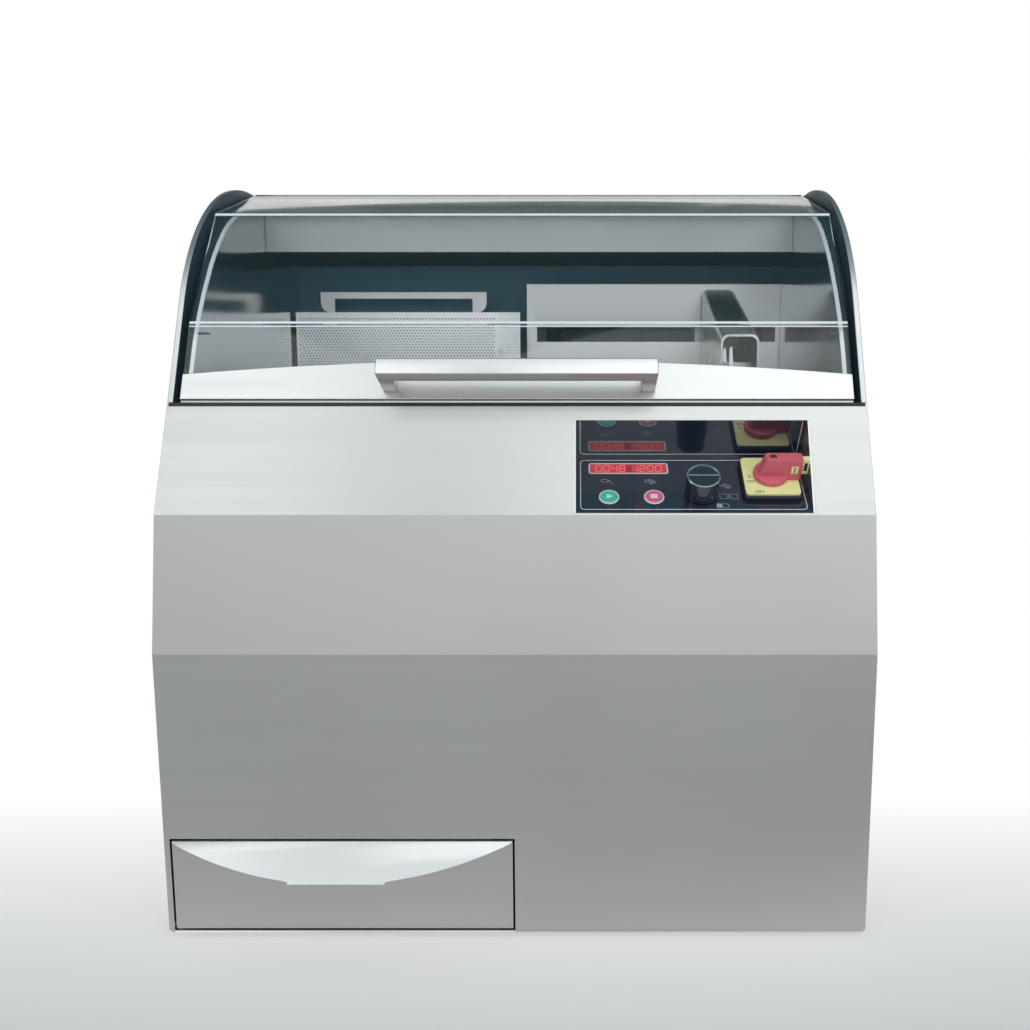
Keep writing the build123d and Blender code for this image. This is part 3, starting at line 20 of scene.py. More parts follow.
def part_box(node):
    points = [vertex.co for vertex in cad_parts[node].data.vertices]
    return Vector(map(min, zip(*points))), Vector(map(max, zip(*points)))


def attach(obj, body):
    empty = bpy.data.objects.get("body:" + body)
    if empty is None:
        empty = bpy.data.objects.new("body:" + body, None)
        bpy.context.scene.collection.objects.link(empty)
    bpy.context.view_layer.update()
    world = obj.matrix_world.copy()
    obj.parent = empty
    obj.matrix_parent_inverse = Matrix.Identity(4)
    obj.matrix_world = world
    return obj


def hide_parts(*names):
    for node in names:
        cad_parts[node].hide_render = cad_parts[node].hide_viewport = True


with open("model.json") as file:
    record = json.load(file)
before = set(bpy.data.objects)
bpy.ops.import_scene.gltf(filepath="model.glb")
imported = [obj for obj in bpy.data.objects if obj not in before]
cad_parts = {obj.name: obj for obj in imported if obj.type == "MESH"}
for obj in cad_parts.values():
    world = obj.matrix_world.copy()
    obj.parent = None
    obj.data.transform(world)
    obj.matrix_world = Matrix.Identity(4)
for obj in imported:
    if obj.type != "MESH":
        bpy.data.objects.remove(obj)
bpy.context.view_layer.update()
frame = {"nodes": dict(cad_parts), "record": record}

LOG = logging.getLogger("bread_slicer")
MM = 0.001
MIDDLE_DEPTH = 286.085
TABLE_RISE = 10.0
HOOD_ARC_CENTRE = (345.0, 556.0)

# A face whose unit normal has more than this along an axis counts as looking that way.
FACING = 0.9

Pair = tuple[float, float]
Triple = tuple[float, float, float]
Colour = Triple
Outline = list[Pair]
Picker = Callable[[Vector, Vector], bool]


class Slot(Enum):
    """Names of the record's material slots."""

    CASING = "casing_steel"
    CHAMBER = "chamber_steel"
    BRIGHT = "bright_steel"
    FOOT = "foot_rubber"
    HOOD = "clear_hood"
    GLOSS = "black_gloss"
    PLASTIC = "black_plastic"
    DISPLAY = "display_red"
    START = "start_green"
    STOP = "stop_red"
    YELLOW = "isolator_yellow"
    RED = "isolator_red"


class Grain(Enum):
    """Direction of the brushing, as noise counts per metre along X, Y and Z."""

    ALONG_X = (2.5, 700.0, 700.0)
    ALONG_Y = (700.0, 2.5, 700.0)
    TURNED = (260.0, 260.0, 260.0)


class Desk:
    """Adds and joins nodes in one node tree."""

    def __init__(self, tree: bpy.types.NodeTree) -> None:
        """Starts on an empty tree."""
        self.tree = tree
        tree.nodes.clear()

    def add(self, kind: str, inputs: dict | None = None, **settings: object) -> bpy.types.Node:
        """Adds a node.

        Args:
            kind: The node's type name.
            inputs: Values or output sockets by input name or number.
            settings: Attributes of the node.

        Returns:
            The new node.
        """
        node = self.tree.nodes.new(kind)
        for name, value in settings.items():
            setattr(node, name, value)
        for name, value in (inputs or {}).items():
            if isinstance(value, bpy.types.NodeSocket):
                self.tree.links.new(value, node.inputs[name])
            else:
                node.inputs[name].default_value = value
        return node

    def socket(self, name: str, kind: str, into: bool = True, value: float | None = None) -> str:
        """Makes a named socket of a node group.

        Args:
            name: The socket's name.
            kind: The socket's type name.
            into: True for an input, False for an output.
            value: The default value of a number.

        Returns:
            The socket's identifier.
        """
        side = "INPUT" if into else "OUTPUT"
        made = self.tree.interface.new_socket(name, in_out=side, socket_type=kind)
        if value is not None:
            made.default_value = value
        return made.identifier

    def calculate(self, operation: str, *values: object) -> bpy.types.NodeSocket:
        """Adds a node of plain arithmetic.

        Args:
            operation: The node's operation.
            values: Numbers or output sockets, in order.

        Returns:
            The socket of the result.
        """
        return self.add("ShaderNodeMath", dict(enumerate(values)), operation=operation).outputs[0]

    def mix_colours(self, factor: bpy.types.NodeSocket, first: object,
                    second: object) -> bpy.types.NodeSocket:
        """Adds a mix of two colours.

        Args:
            factor: Share of the second colour.
            first: A colour or an output socket.
            second: A colour or an output socket.

        Returns:
            The socket of the mixed colour.
        """
        node = self.add("ShaderNodeMix", {"Factor": factor, 6: first, 7: second}, data_type="RGBA")
        return node.outputs[2]


def blank_material(name: str) -> tuple[bpy.types.Material, Desk]:
    """Starts a material with an empty node tree.

    Args:
        name: The material's name.

    Returns:
        The material, and a desk on its tree.
    """
    material = bpy.data.materials.new(name)
    material.use_nodes = True
    return material, Desk(material.node_tree)


class Effects:
    """Shader node groups that several finishes share, each built once."""

    @staticmethod
    @cache
    def brushed_grain() -> bpy.types.NodeTree:
        """Long fine scratches: a streak value and a height.

        Returns:
            The shader node group.
        """
        desk = Desk(bpy.data.node_groups.new("brushed_grain", "ShaderNodeTree"))
        desk.socket("Place", "NodeSocketVector")
        desk.socket("Counts", "NodeSocketVector")
        desk.socket("Streak", "NodeSocketFloat", into=False)
        desk.socket("Height", "NodeSocketFloat", into=False)
        given = desk.add("NodeGroupInput").outputs
        stretched = desk.add("ShaderNodeVectorMath", {0: given["Place"], 1: given["Counts"]},
                             operation="MULTIPLY")
        broad = desk.add("ShaderNodeTexNoise", {"Vector": stretched.outputs[0], "Scale": 0.12, "Detail": 3.0})
        fine = desk.add("ShaderNodeTexNoise", {"Vector": stretched.outputs[0], "Scale": 1.0, "Detail": 4.0,
                                               "Roughness": 0.65})
        streak = desk.add("ShaderNodeMix", {"Factor": 0.45, 2: broad.outputs["Fac"], 3: fine.outputs["Fac"]})
        desk.add("NodeGroupOutput", {"Streak": streak.outputs[0], "Height": fine.outputs["Fac"]})
        return desk.tree

    @staticmethod
    @cache
    def hand_marks() -> bpy.types.NodeTree:
        """Soft patches where hands and cloths have been: a mask.

        Returns:
            The shader node group.
        """
        desk = Desk(bpy.data.node_groups.new("hand_marks", "ShaderNodeTree"))
        desk.socket("Place", "NodeSocketVector")
        desk.socket("Patches", "NodeSocketFloat", value=7.0)
        desk.socket("Mask", "NodeSocketFloat", into=False)
        given = desk.add("NodeGroupInput").outputs
        cloud = desk.add("ShaderNodeTexNoise", {"Vector": given["Place"], "Scale": given["Patches"],
                                                "Detail": 2.5, "Distortion": 0.4})
        mask = desk.add("ShaderNodeMapRange", {"Value": cloud.outputs["Fac"], "From Min": 0.4,
                                               "From Max": 0.72}, interpolation_type="SMOOTHSTEP")
        desk.add("NodeGroupOutput", {"Mask": mask.outputs[0]})
        return desk.tree

    @staticmethod
    @cache
    def moulded_grain() -> bpy.types.NodeTree:
        """Fine leathery surface of moulded plastic or rubber: a tone and a height.

        Returns:
            The shader node group.
        """
        desk = Desk(bpy.data.node_groups.new("moulded_grain", "ShaderNodeTree"))
        desk.socket("Place", "NodeSocketVector")
        desk.socket("Counts", "NodeSocketFloat", value=900.0)
        desk.socket("Tone", "NodeSocketFloat", into=False)
        desk.socket("Height", "NodeSocketFloat", into=False)
        given = desk.add("NodeGroupInput").outputs
        pits = desk.add("ShaderNodeTexVoronoi", {"Vector": given["Place"], "Scale": given["Counts"]},
                        feature="SMOOTH_F1")
        tone = desk.add("ShaderNodeTexNoise", {"Vector": given["Place"], "Scale": 45.0, "Detail": 3.0})
        desk.add("NodeGroupOutput", {"Tone": tone.outputs["Fac"], "Height": pits.outputs["Distance"]})
        return desk.tree


def shade(colour: Colour, share: float) -> tuple[float, float, float, float]:
    """A colour made lighter or darker, with full alpha."""
    return (*(min(1.0, part * share) for part in colour), 1.0)


@dataclass(frozen=True)
class SteelFinish:
    """Brushed or polished metal.

    The tone swings by tone_swing along the streaks, and the roughness by rough_swing.
    """

    name: str
    tone: Colour
    roughness: float
    grain: Grain
    depth: float = 0.06
    tone_swing: float = 0.05
    rough_swing: float = 0.07
    marks: float = 0.06
    smudge: float = 0.05
    patches: float = 2.6

    def make(self) -> bpy.types.Material:
        """Builds the material.

        Returns:
            The new material.
        """
        material, desk = blank_material(self.name)
        place = desk.add("ShaderNodeTexCoord").outputs["Object"]
        grain = desk.add("ShaderNodeGroup", {"Place": place, "Counts": self.grain.value},
                         node_tree=Effects.brushed_grain())
        marks = desk.add("ShaderNodeGroup", {"Place": place, "Patches": self.patches},
                         node_tree=Effects.hand_marks())
        tint = desk.mix_colours(grain.outputs["Streak"], shade(self.tone, 1 - self.tone_swing),
                                shade(self.tone, 1 + self.tone_swing))
        rough = desk.add("ShaderNodeMapRange", {
            "Value": grain.outputs["Streak"], "From Min": 0.3, "From Max": 0.7,
            "To Min": self.roughness - self.rough_swing, "To Max": self.roughness + self.rough_swing})
        patched = desk.calculate("MULTIPLY_ADD", marks.outputs["Mask"], self.marks, rough.outputs[0])
        bump = desk.add("ShaderNodeBump", {"Strength": self.depth, "Distance": 0.0006,
                                           "Height": grain.outputs["Height"]})
        worn = desk.mix_colours(marks.outputs["Mask"], tint, shade(self.tone, 1 - self.smudge))
        surface = desk.add("ShaderNodeBsdfPrincipled", {
            "Base Color": worn, "Metallic": 1.0, "Roughness": patched, "Normal": bump.outputs[0]})
        desk.add("ShaderNodeOutputMaterial", {"Surface": surface.outputs[0]})
        return material


@dataclass(frozen=True)
class PlasticFinish:
    """Moulded plastic, paint or rubber."""

    name: str
    colour: Colour
    roughness: float
    counts: float = 900.0
    depth: float = 0.05
    tone_swing: float = 0.08
    marks: float = 0.08
    gloss: float = 0.0
    coat_index: float = 1.5
    glow: float = 0.0
    patches: float = 30.0

    def make(self) -> bpy.types.Material:
        """Builds the material.

        Returns:
            The new material.
        """
        material, desk = blank_material(self.name)
        place = desk.add("ShaderNodeTexCoord").outputs["Object"]
        grain = desk.add("ShaderNodeGroup", {"Place": place, "Counts": self.counts},
                         node_tree=Effects.moulded_grain())
        marks = desk.add("ShaderNodeGroup", {"Place": place, "Patches": self.patches},
                         node_tree=Effects.hand_marks())
        tint = desk.mix_colours(grain.outputs["Tone"], shade(self.colour, 1 - self.tone_swing),
                                shade(self.colour, 1 + self.tone_swing))
        rough = desk.calculate("MULTIPLY_ADD", marks.outputs["Mask"], self.marks, self.roughness)
        bump = desk.add("ShaderNodeBump", {"Strength": self.depth, "Distance": 0.0004,
                                           "Height": grain.outputs["Height"]})
        surface = desk.add("ShaderNodeBsdfPrincipled", {
            "Base Color": tint, "Roughness": rough, "Normal": bump.outputs[0],
            "Coat Weight": self.gloss, "Coat Roughness": 0.04, "Coat IOR": self.coat_index})
        if self.glow:
            desk.tree.links.new(tint, surface.inputs["Emission Color"])
            surface.inputs["Emission Strength"].default_value = self.glow
        desk.add("ShaderNodeOutputMaterial", {"Surface": surface.outputs[0]})
        return material


@dataclass(frozen=True)
class ClearFinish:
    """Clear sheet that lets lamps through, with faint marks on its surface."""

    name: str
    tint: Colour
    roughness: float = 0.02
    index: float = 1.36
    marks: float = 0.03
    patches: float = 9.0

    def make(self) -> bpy.types.Material:
        """Builds the material.

        Returns:
            The new material.
        """
        material, desk = blank_material(self.name)
        place = desk.add("ShaderNodeTexCoord").outputs["Object"]
        marks = desk.add("ShaderNodeGroup", {"Place": place, "Patches": self.patches},
                         node_tree=Effects.hand_marks())
        rough = desk.calculate("MULTIPLY_ADD", marks.outputs["Mask"], self.marks, self.roughness)
        surface = desk.add("ShaderNodeBsdfPrincipled", {
            "Base Color": shade(self.tint, 1.0), "Roughness": rough, "IOR": self.index,
            "Transmission Weight": 1.0})
        through = desk.add("ShaderNodeBsdfTransparent", {"Color": shade(self.tint, 1.0)})
        rays = desk.add("ShaderNodeLightPath")
        mixed = desk.add("ShaderNodeMixShader", {0: rays.outputs["Is Shadow Ray"], 1: surface.outputs[0],
                                                 2: through.outputs[0]})
        desk.add("ShaderNodeOutputMaterial", {"Surface": mixed.outputs[0]})
        return material


Finish = SteelFinish | PlasticFinish | ClearFinish

CASING_STEEL = SteelFinish("casing_brushed_steel", (0.552, 0.535, 0.524), 0.34, Grain.ALONG_X, smudge=0.07)
SIDE_STEEL = SteelFinish("side_brushed_steel", (0.552, 0.535, 0.524), 0.34, Grain.ALONG_Y)
COVER_STEEL = SteelFinish("cover_brushed_steel", (0.45, 0.46, 0.455), 0.34, Grain.ALONG_X)
HOOD_STEEL = SteelFinish("hood_trim_steel", (0.662, 0.636, 0.622), 0.32, Grain.ALONG_X)
CHAMBER_STEEL = SteelFinish("chamber_fine_steel", (0.61, 0.60, 0.59), 0.30, Grain.ALONG_X, depth=0.008,
                            tone_swing=0.02, rough_swing=0.03)
LINER_STEEL = SteelFinish("liner_bright_steel", (0.52, 0.54, 0.55), 0.13, Grain.ALONG_Y, depth=0.006,
                          tone_swing=0.02, rough_swing=0.02, marks=0.02)
PIERCED_STEEL = SteelFinish("pierced_plate_steel", (0.95, 0.95, 0.95), 0.36, Grain.ALONG_X, depth=0.01)
PALE_STEEL = SteelFinish("pale_pierced_steel", (1.0, 1.0, 0.95), 0.42, Grain.ALONG_X, depth=0.01, smudge=0.0)
POLISHED_STEEL = SteelFinish("polished_steel", (0.66, 0.66, 0.66), 0.14, Grain.TURNED, depth=0.03,
                             rough_swing=0.04)
CAST_ALLOY = SteelFinish("machined_alloy", (0.50, 0.51, 0.52), 0.42, Grain.TURNED, depth=0.10)
MOTOR_PAINT = PlasticFinish("satin_motor_paint", (0.05, 0.055, 0.065), 0.42, 500.0, 0.10)
# Dark blue coat on the bay wall: painted shade.
PAINTED_SHADE_BAY = PlasticFinish("painted_shade_bay_wall", (0.105, 0.270, 0.345), 0.45, 700.0, 0.04)
# Dark blue coat under the rear of the top cover: painted shade.
PAINTED_SHADE_ROOF = PlasticFinish("painted_shade_roof", (0.130, 0.350, 0.460), 0.45, 700.0, 0.04)
# Dark coat inside the cheeks, on the liners' outer lips and inside the gripper cover: painted shade.
PAINTED_SHADE_COAT = PlasticFinish("painted_shade_coat", (0.016, 0.040, 0.058), 0.45, 700.0, 0.04)
BELT_RUBBER = PlasticFinish("belt_rubber", (0.022, 0.022, 0.022), 0.70, 1200.0, 0.25)
FOOT_RUBBER = PlasticFinish("foot_rubber", (0.025, 0.025, 0.026), 0.65, 800.0, 0.25)
CLEAR_SHEET = ClearFinish("clear_smoky_sheet", (0.90, 0.92, 0.93))
# Pale glossy strips on the hood's bends: painted highlights.
PAINTED_BEND_HIGHLIGHT = PlasticFinish("painted_bend_highlight", (0.80, 0.83, 0.86), 0.12, 300.0, 0.02, gloss=0.6)
# Near-white bead on the liners' front edges: painted highlight.
PAINTED_HIGHLIGHT_BEAD = PlasticFinish("painted_highlight_bead", (0.95, 0.96, 0.97), 0.15, 300.0, 0.02, gloss=0.5)
GLOSS_BLACK = PlasticFinish("gloss_black_fascia", (0.009, 0.015, 0.036), 0.10, 500.0, 0.0, gloss=1.0)
MIRROR_BLACK = PlasticFinish("mirror_black_fascia", (0.018, 0.028, 0.050), 0.08, 500.0, 0.0, marks=0.0,
                             gloss=1.0, coat_index=3.0)
SATIN_BLACK = PlasticFinish("satin_black_plastic", (0.016, 0.017, 0.020), 0.32, 1400.0, 0.06)
# The red window and the gap between the digit groups glow faintly: painted glow, as only the digits are lit.
DISPLAY_GLASS = PlasticFinish("display_red_glass", (0.46, 0.045, 0.058), 0.10, 300.0, 0.01, gloss=0.4,
                              glow=0.36)
DISPLAY_DARK = PlasticFinish("display_dark_gap", (0.34, 0.035, 0.045), 0.15, 300.0, 0.01, glow=0.1)
LED_RED = PlasticFinish("lit_red_digit", (0.76, 0.12, 0.14), 0.30, 300.0, 0.0, glow=0.48)
BOARD_GREEN = PlasticFinish("board_green", (0.02, 0.16, 0.06), 0.35, 600.0, 0.08)
START_GREEN = PlasticFinish("start_green_cap", (0.055, 0.52, 0.32), 0.22, 600.0, 0.02, gloss=0.3)
STOP_RED = PlasticFinish("stop_red_cap", (0.78, 0.12, 0.22), 0.22, 600.0, 0.02, gloss=0.3)
RING_GREY = PlasticFinish("pale_ring_plastic", (0.66, 0.67, 0.68), 0.28, 900.0, 0.02, gloss=0.2)
SWITCH_YELLOW = PlasticFinish("switch_yellow_plate", (0.88, 0.81, 0.38), 0.42, 1200.0, 0.03)
SWITCH_RED = PlasticFinish("switch_red_handle", (0.66, 0.12, 0.16), 0.30, 1000.0, 0.06)
WHITE_PRINT = PlasticFinish("white_print", (0.72, 0.74, 0.76), 0.45, 1500.0, 0.03)
GREY_PRINT = PlasticFinish("grey_print", (0.34, 0.36, 0.40), 0.45, 1500.0, 0.03)
BLACK_PRINT = PlasticFinish("black_print", (0.03, 0.03, 0.03), 0.50, 1500.0, 0.03)


@cache
def material_of(finish: Finish) -> bpy.types.Material:
    """The material of a finish, made once."""
    return finish.make()


def bench(x: float, depth: float, height: float) -> Vector:
    """A place of the bench frame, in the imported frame's metres."""
    return Vector((x, depth - MIDDLE_DEPTH, height + TABLE_RISE)) * MM


def facing(origin: Vector, across: Vector, up: Vector) -> Matrix:
    """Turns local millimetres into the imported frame.

    Args:
        origin: Where the local origin lies.
        across: Direction of local x.
        up: Direction of local y; local z is square to both.

    Returns:
        The matrix from local millimetres to metres.
    """
    out = across.cross(up)
    turn = Matrix((across, up, out)).transposed().to_4x4()
    return Matrix.Translation(origin) @ turn @ Matrix.Scale(MM, 4)


ORIGIN = Vector((0.0, 0.0, 0.0))
RIGHT = Vector((1.0, 0.0, 0.0))
BACK = Vector((0.0, 1.0, 0.0))
UP = Vector((0.0, 0.0, 1.0))
# Local x, y and z become Y, Z and X, with no change of unit.
SIDEWAYS = Matrix(((0, 0, 1, 0), (1, 0, 0, 0), (0, 1, 0, 0), (0, 0, 0, 1)))


def scaled(points: Iterable[Pair], wide: float, high: float) -> Outline:
    """Points given as shares of a width and a height."""
    return [(x * wide, y * high) for x, y in points]


def moved(points: Iterable[Pair], across: float, up: float) -> Outline:
    """Points shifted across and up."""
    return [(x + across, y + up) for x, y in points]


def band(half: float, low: float, high: float) -> Outline:
    """A plain rectangle, as wide to the left as to the right."""
    return [(-half, low), (half, low), (half, high), (-half, high)]


def circle(radius: float, steps: int = 40, centre: Pair = (0.0, 0.0)) -> Outline:
    """Points round a circle."""
    turns = [2 * math.pi * step / steps for step in range(steps)]
    return [(centre[0] + radius * math.cos(turn), centre[1] + radius * math.sin(turn)) for turn in turns]


def rounded_box(low: Pair, high: Pair, radius: float, steps: int = 5) -> Outline:
    """Outline of a rectangle with round corners.

    Args:
        low: Lower left corner.
        high: Upper right corner.
        radius: Corner radius.
        steps: Steps in each corner.

    Returns:
        The points, counter-clockwise.
    """
    points = []
    corners = ((high[0], low[1], -90), (high[0], high[1], 0), (low[0], high[1], 90), (low[0], low[1], 180))
    for x, y, start in corners:
        across = min(max(x, low[0] + radius), high[0] - radius)
        up = min(max(y, low[1] + radius), high[1] - radius)
        for step in range(steps + 1):
            turn = math.radians(start + 90 * step / steps)
            points.append((across + radius * math.cos(turn), up + radius * math.sin(turn)))
    return points


def centred_box(middle: Pair, half_wide: float, half_high: float, radius: float) -> Outline:
    """Outline of a rectangle with round corners about a middle."""
    x, y = middle
    return rounded_box((x - half_wide, y - half_high), (x + half_wide, y + half_high), radius)


def ribbon(points: Outline, width: float) -> Outline:
    """Outline of an open line drawn with a pen of some width.

    Args:
        points: The line's points.
        width: The pen's width.

    Returns:
        The points round the drawn line.
    """
    sides: tuple[Outline, Outline] = ([], [])
    for index, (x, y) in enumerate(points):
        before = Vector(points[max(index - 1, 0)])
        after = Vector(points[min(index + 1, len(points) - 1)])
        along = (after - before).normalized()
        for side, sign in zip(sides, (1, -1)):
            side.append((x - sign * along.y * width / 2, y + sign * along.x * width / 2))
    return sides[1] + sides[0][::-1]


def skirt(part: bmesh.types.BMesh, lower: list[bmesh.types.BMVert], upper: list[bmesh.types.BMVert]) -> None:
    """Adds the faces between two closed rows of equal count.

    Args:
        part: The geometry that they join.
        lower: The first row.
        upper: The second row.
    """
    for index, corner in enumerate(lower):
        after = (index + 1) % len(lower)
        part.faces.new((corner, lower[after], upper[after], upper[index]))


def finished(part: bmesh.types.BMesh, name: str) -> bpy.types.Mesh:
    """Turns edited geometry into a mesh and frees it.

    Args:
        part: The geometry.
        name: The mesh's name.

    Returns:
        The new mesh.
    """
    mesh = bpy.data.meshes.new(name)
    part.to_mesh(mesh)
    part.free()
    return mesh


def evaluated(holder: bpy.types.Object) -> bpy.types.Mesh:
    """Links an object and makes a plain mesh of what it evaluates to.

    Args:
        holder: The object.

    Returns:
        The new mesh.
    """
    bpy.context.scene.collection.objects.link(holder)
    bpy.context.view_layer.update()
    depsgraph = bpy.context.evaluated_depsgraph_get()
    return bpy.data.meshes.new_from_object(holder.evaluated_get(depsgraph))


BODY_OF = {node: body for body, nodes in frame["record"]["behaviour"]["bodies"].items() for node in nodes}


def as_piece(name: str, mesh: bpy.types.Mesh, finishes: list[Finish], body: str,
             replaced: tuple[str, ...] = (), crease: float = 30.0) -> bpy.types.Object:
    """Turns a finished mesh into a piece that rides on a body.

    Args:
        name: The piece's name.
        mesh: Its mesh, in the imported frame.
        finishes: Finishes in the order of the material indices.
        body: The body that it rides on.
        replaced: Frame nodes that it stands for.
        crease: Edges that turn by more than this many degrees stay sharp.

    Returns:
        The piece's object.
    """
    mesh.name = name
    if mesh.materials:
        mesh.materials.clear()
    for finish in finishes:
        mesh.materials.append(material_of(finish))
    mesh.shade_smooth()
    mesh.set_sharp_from_angle(angle=math.radians(crease))
    piece = bpy.data.objects.new(name, mesh)
    bpy.context.scene.collection.objects.link(piece)
    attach(piece, body)
    if replaced:
        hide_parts(*replaced)
    LOG.info("piece %s on %s: %d faces", name, body, len(mesh.polygons))
    return piece


class Shape:
    """Collects the solids of one piece, drawn in local millimetres."""

    def __init__(self, place: Matrix) -> None:
        """Starts an empty piece.

        Args:
            place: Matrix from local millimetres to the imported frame.
        """
        self.place = place
        self.whole = bmesh.new()
        self.finishes: list[Finish] = []

    def _take(self, part: bmesh.types.BMesh, finish: Finish) -> None:
        """Adds one closed solid.

        Args:
            part: The solid's geometry in local millimetres, which is freed.
            finish: The solid's finish.
        """
        bmesh.ops.recalc_face_normals(part, faces=part.faces)
        part.transform(self.place)
        if finish not in self.finishes:
            self.finishes.append(finish)
        for face in part.faces:
            face.material_index = self.finishes.index(finish)
        mesh = finished(part, "solid")
        self.whole.from_mesh(mesh)
        bpy.data.meshes.remove(mesh)

    def loft(self, sections: list[tuple[Outline, float]], finish: Finish, loop: bool = False) -> None:
        """A solid through outlines of equal count at local heights.

        Args:
            sections: Outlines and their heights.
            finish: The solid's finish.
            loop: True joins the last section to the first, as in a ring; False closes both ends.
        """
        part = bmesh.new()
        rows = [[part.verts.new((x, y, z)) for x, y in outline] for outline, z in sections]
        pairs = list(zip(rows, rows[1:] + rows[:1]))
        for lower, upper in pairs if loop else pairs[:-1]:
            skirt(part, lower, upper)
        if not loop:
            part.faces.new(rows[0][::-1])
            part.faces.new(rows[-1])
        self._take(part, finish)

    def plate(self, outline: Outline, low: float, high: float, finish: Finish, soft: float = 0.0,
              whole: bool = False) -> None:
        """A flat solid between two heights.

        Args:
            outline: Its outline.
            low: Lower height.
            high: Upper height.
            finish: The solid's finish.
            soft: Rounding of the upper edge.
            whole: True rounds every edge.
        """
        part = bmesh.new()
        lower = [part.verts.new((x, y, low)) for x, y in outline]
        upper = [part.verts.new((x, y, high)) for x, y in outline]
        part.faces.new(lower[::-1])
        cap = part.faces.new(upper)
        skirt(part, lower, upper)
        if soft:
            edges = part.edges if whole else cap.edges
            bmesh.ops.bevel(part, geom=list(edges), offset=soft, segments=3, profile=0.5, affect="EDGES")
        self._take(part, finish)

    def ring(self, outer: Outline, inner: Outline, low: float, high: float, finish: Finish) -> None:
        """A flat frame between two outlines of equal count."""
        self.loft([(outer, low), (outer, high), (inner, high), (inner, low)], finish, loop=True)

    def turned(self, profile: Outline, finish: Finish, centre: Pair = (0.0, 0.0),
               steps: int = 48) -> None:
        """A turned solid from (radius, height) points round an upright axis."""
        self.loft([(circle(radius, steps, centre), z) for radius, z in profile], finish)

    def line(self, points: Outline, width: float, low: float, high: float, finish: Finish) -> None:
        """A drawn line with a little thickness."""
        self.plate(ribbon(points, width), low, high, finish)

    def words(self, text: str, size: float, middle: Pair, low: float, high: float,
              finish: Finish) -> None:
        """Letters or digits as a thin solid.

        Args:
            text: What is written.
            size: Height of the font.
            middle: Middle of the words.
            low: Lower height.
            high: Upper height.
            finish: The solid's finish.
        """
        data = bpy.data.curves.new("words", "FONT")
        data.body = text
        data.size = size
        data.extrude = (high - low) / 2
        data.align_x = "CENTER"
        data.align_y = "CENTER"
        holder = bpy.data.objects.new("words", data)
        mesh = evaluated(holder)
        part = bmesh.new()
        part.from_mesh(mesh)
        bmesh.ops.remove_doubles(part, verts=part.verts, dist=1e-4)
        bmesh.ops.translate(part, verts=part.verts, vec=(*middle, (low + high) / 2))
        bpy.data.objects.remove(holder)
        bpy.data.curves.remove(data)
        bpy.data.meshes.remove(mesh)
        self._take(part, finish)

    def mesh(self) -> bpy.types.Mesh:
        """The collected solids as one mesh."""
        return finished(self.whole, "shape")

    def piece(self, name: str, body: str, slot: Slot, replaced: tuple[str, ...] = (),
              crease: float = 30.0) -> bpy.types.Object:
        """The collected solids as one piece on a body."""
        return as_piece(name, self.mesh(), self.finishes, body, replaced, crease)


def softened(node: str, width: float, finish: Finish, crease: float = 18.0, turn: float = 28.0,
             other: Finish | None = None, picks: Picker | None = None) -> bpy.types.Object:
    """A copy of a frame node with its edges broken, standing for that node.

    Args:
        node: The frame node.
        width: Width of the broken edge.
        finish: The copy's finish.
        crease: Edges that turn by more than this many degrees are shaded sharp.
        turn: Edges that turn by more than this many degrees are broken.
        other: A second finish.
        picks: Tells by a face's centre and normal whether it takes the second finish.

    Returns:
        The new piece.
    """
    shape = bmesh.new()
    shape.from_mesh(frame["nodes"][node].data)
    bmesh.ops.remove_doubles(shape, verts=shape.verts, dist=1e-6)
    bmesh.ops.dissolve_limit(shape, angle_limit=math.radians(0.4), verts=shape.verts, edges=shape.edges)
    limit = math.radians(turn)
    edges = [edge for edge in shape.edges if len(edge.link_faces) == 2 and edge.calc_face_angle(0.0) > limit]
    bmesh.ops.bevel(shape, geom=edges, offset=width * MM, segments=2, profile=0.6, affect="EDGES",
                    clamp_overlap=False)
    bmesh.ops.triangulate(shape, faces=[face for face in shape.faces if len(face.verts) > 4])
    finishes = [finish]
    if other and picks:
        finishes.append(other)
        for face in shape.faces:
            face.material_index = int(picks(face.calc_center_median(), face.normal))
    mesh = finished(shape, node)
    return as_piece(f"{node}_dressed", mesh, finishes, BODY_OF[node], (node,), crease)


def grown(tree: bpy.types.NodeTree, values: dict[str, object], host: bpy.types.Mesh) -> bpy.types.Mesh:
    """Runs a geometry tree once and keeps its result.

    Args:
        tree: The geometry node tree.
        values: Values of its inputs by socket identifier.
        host: The mesh that the tree starts from.

    Returns:
        The result as a plain mesh.
    """
    holder = bpy.data.objects.new("holder", host)
    modifier = holder.modifiers.new("grown", "NODES")
    modifier.node_group = tree
    for identifier, value in values.items():
        modifier[identifier] = value
    mesh = evaluated(holder)
    holder.modifiers.clear()
    bpy.data.objects.remove(holder)
    return mesh


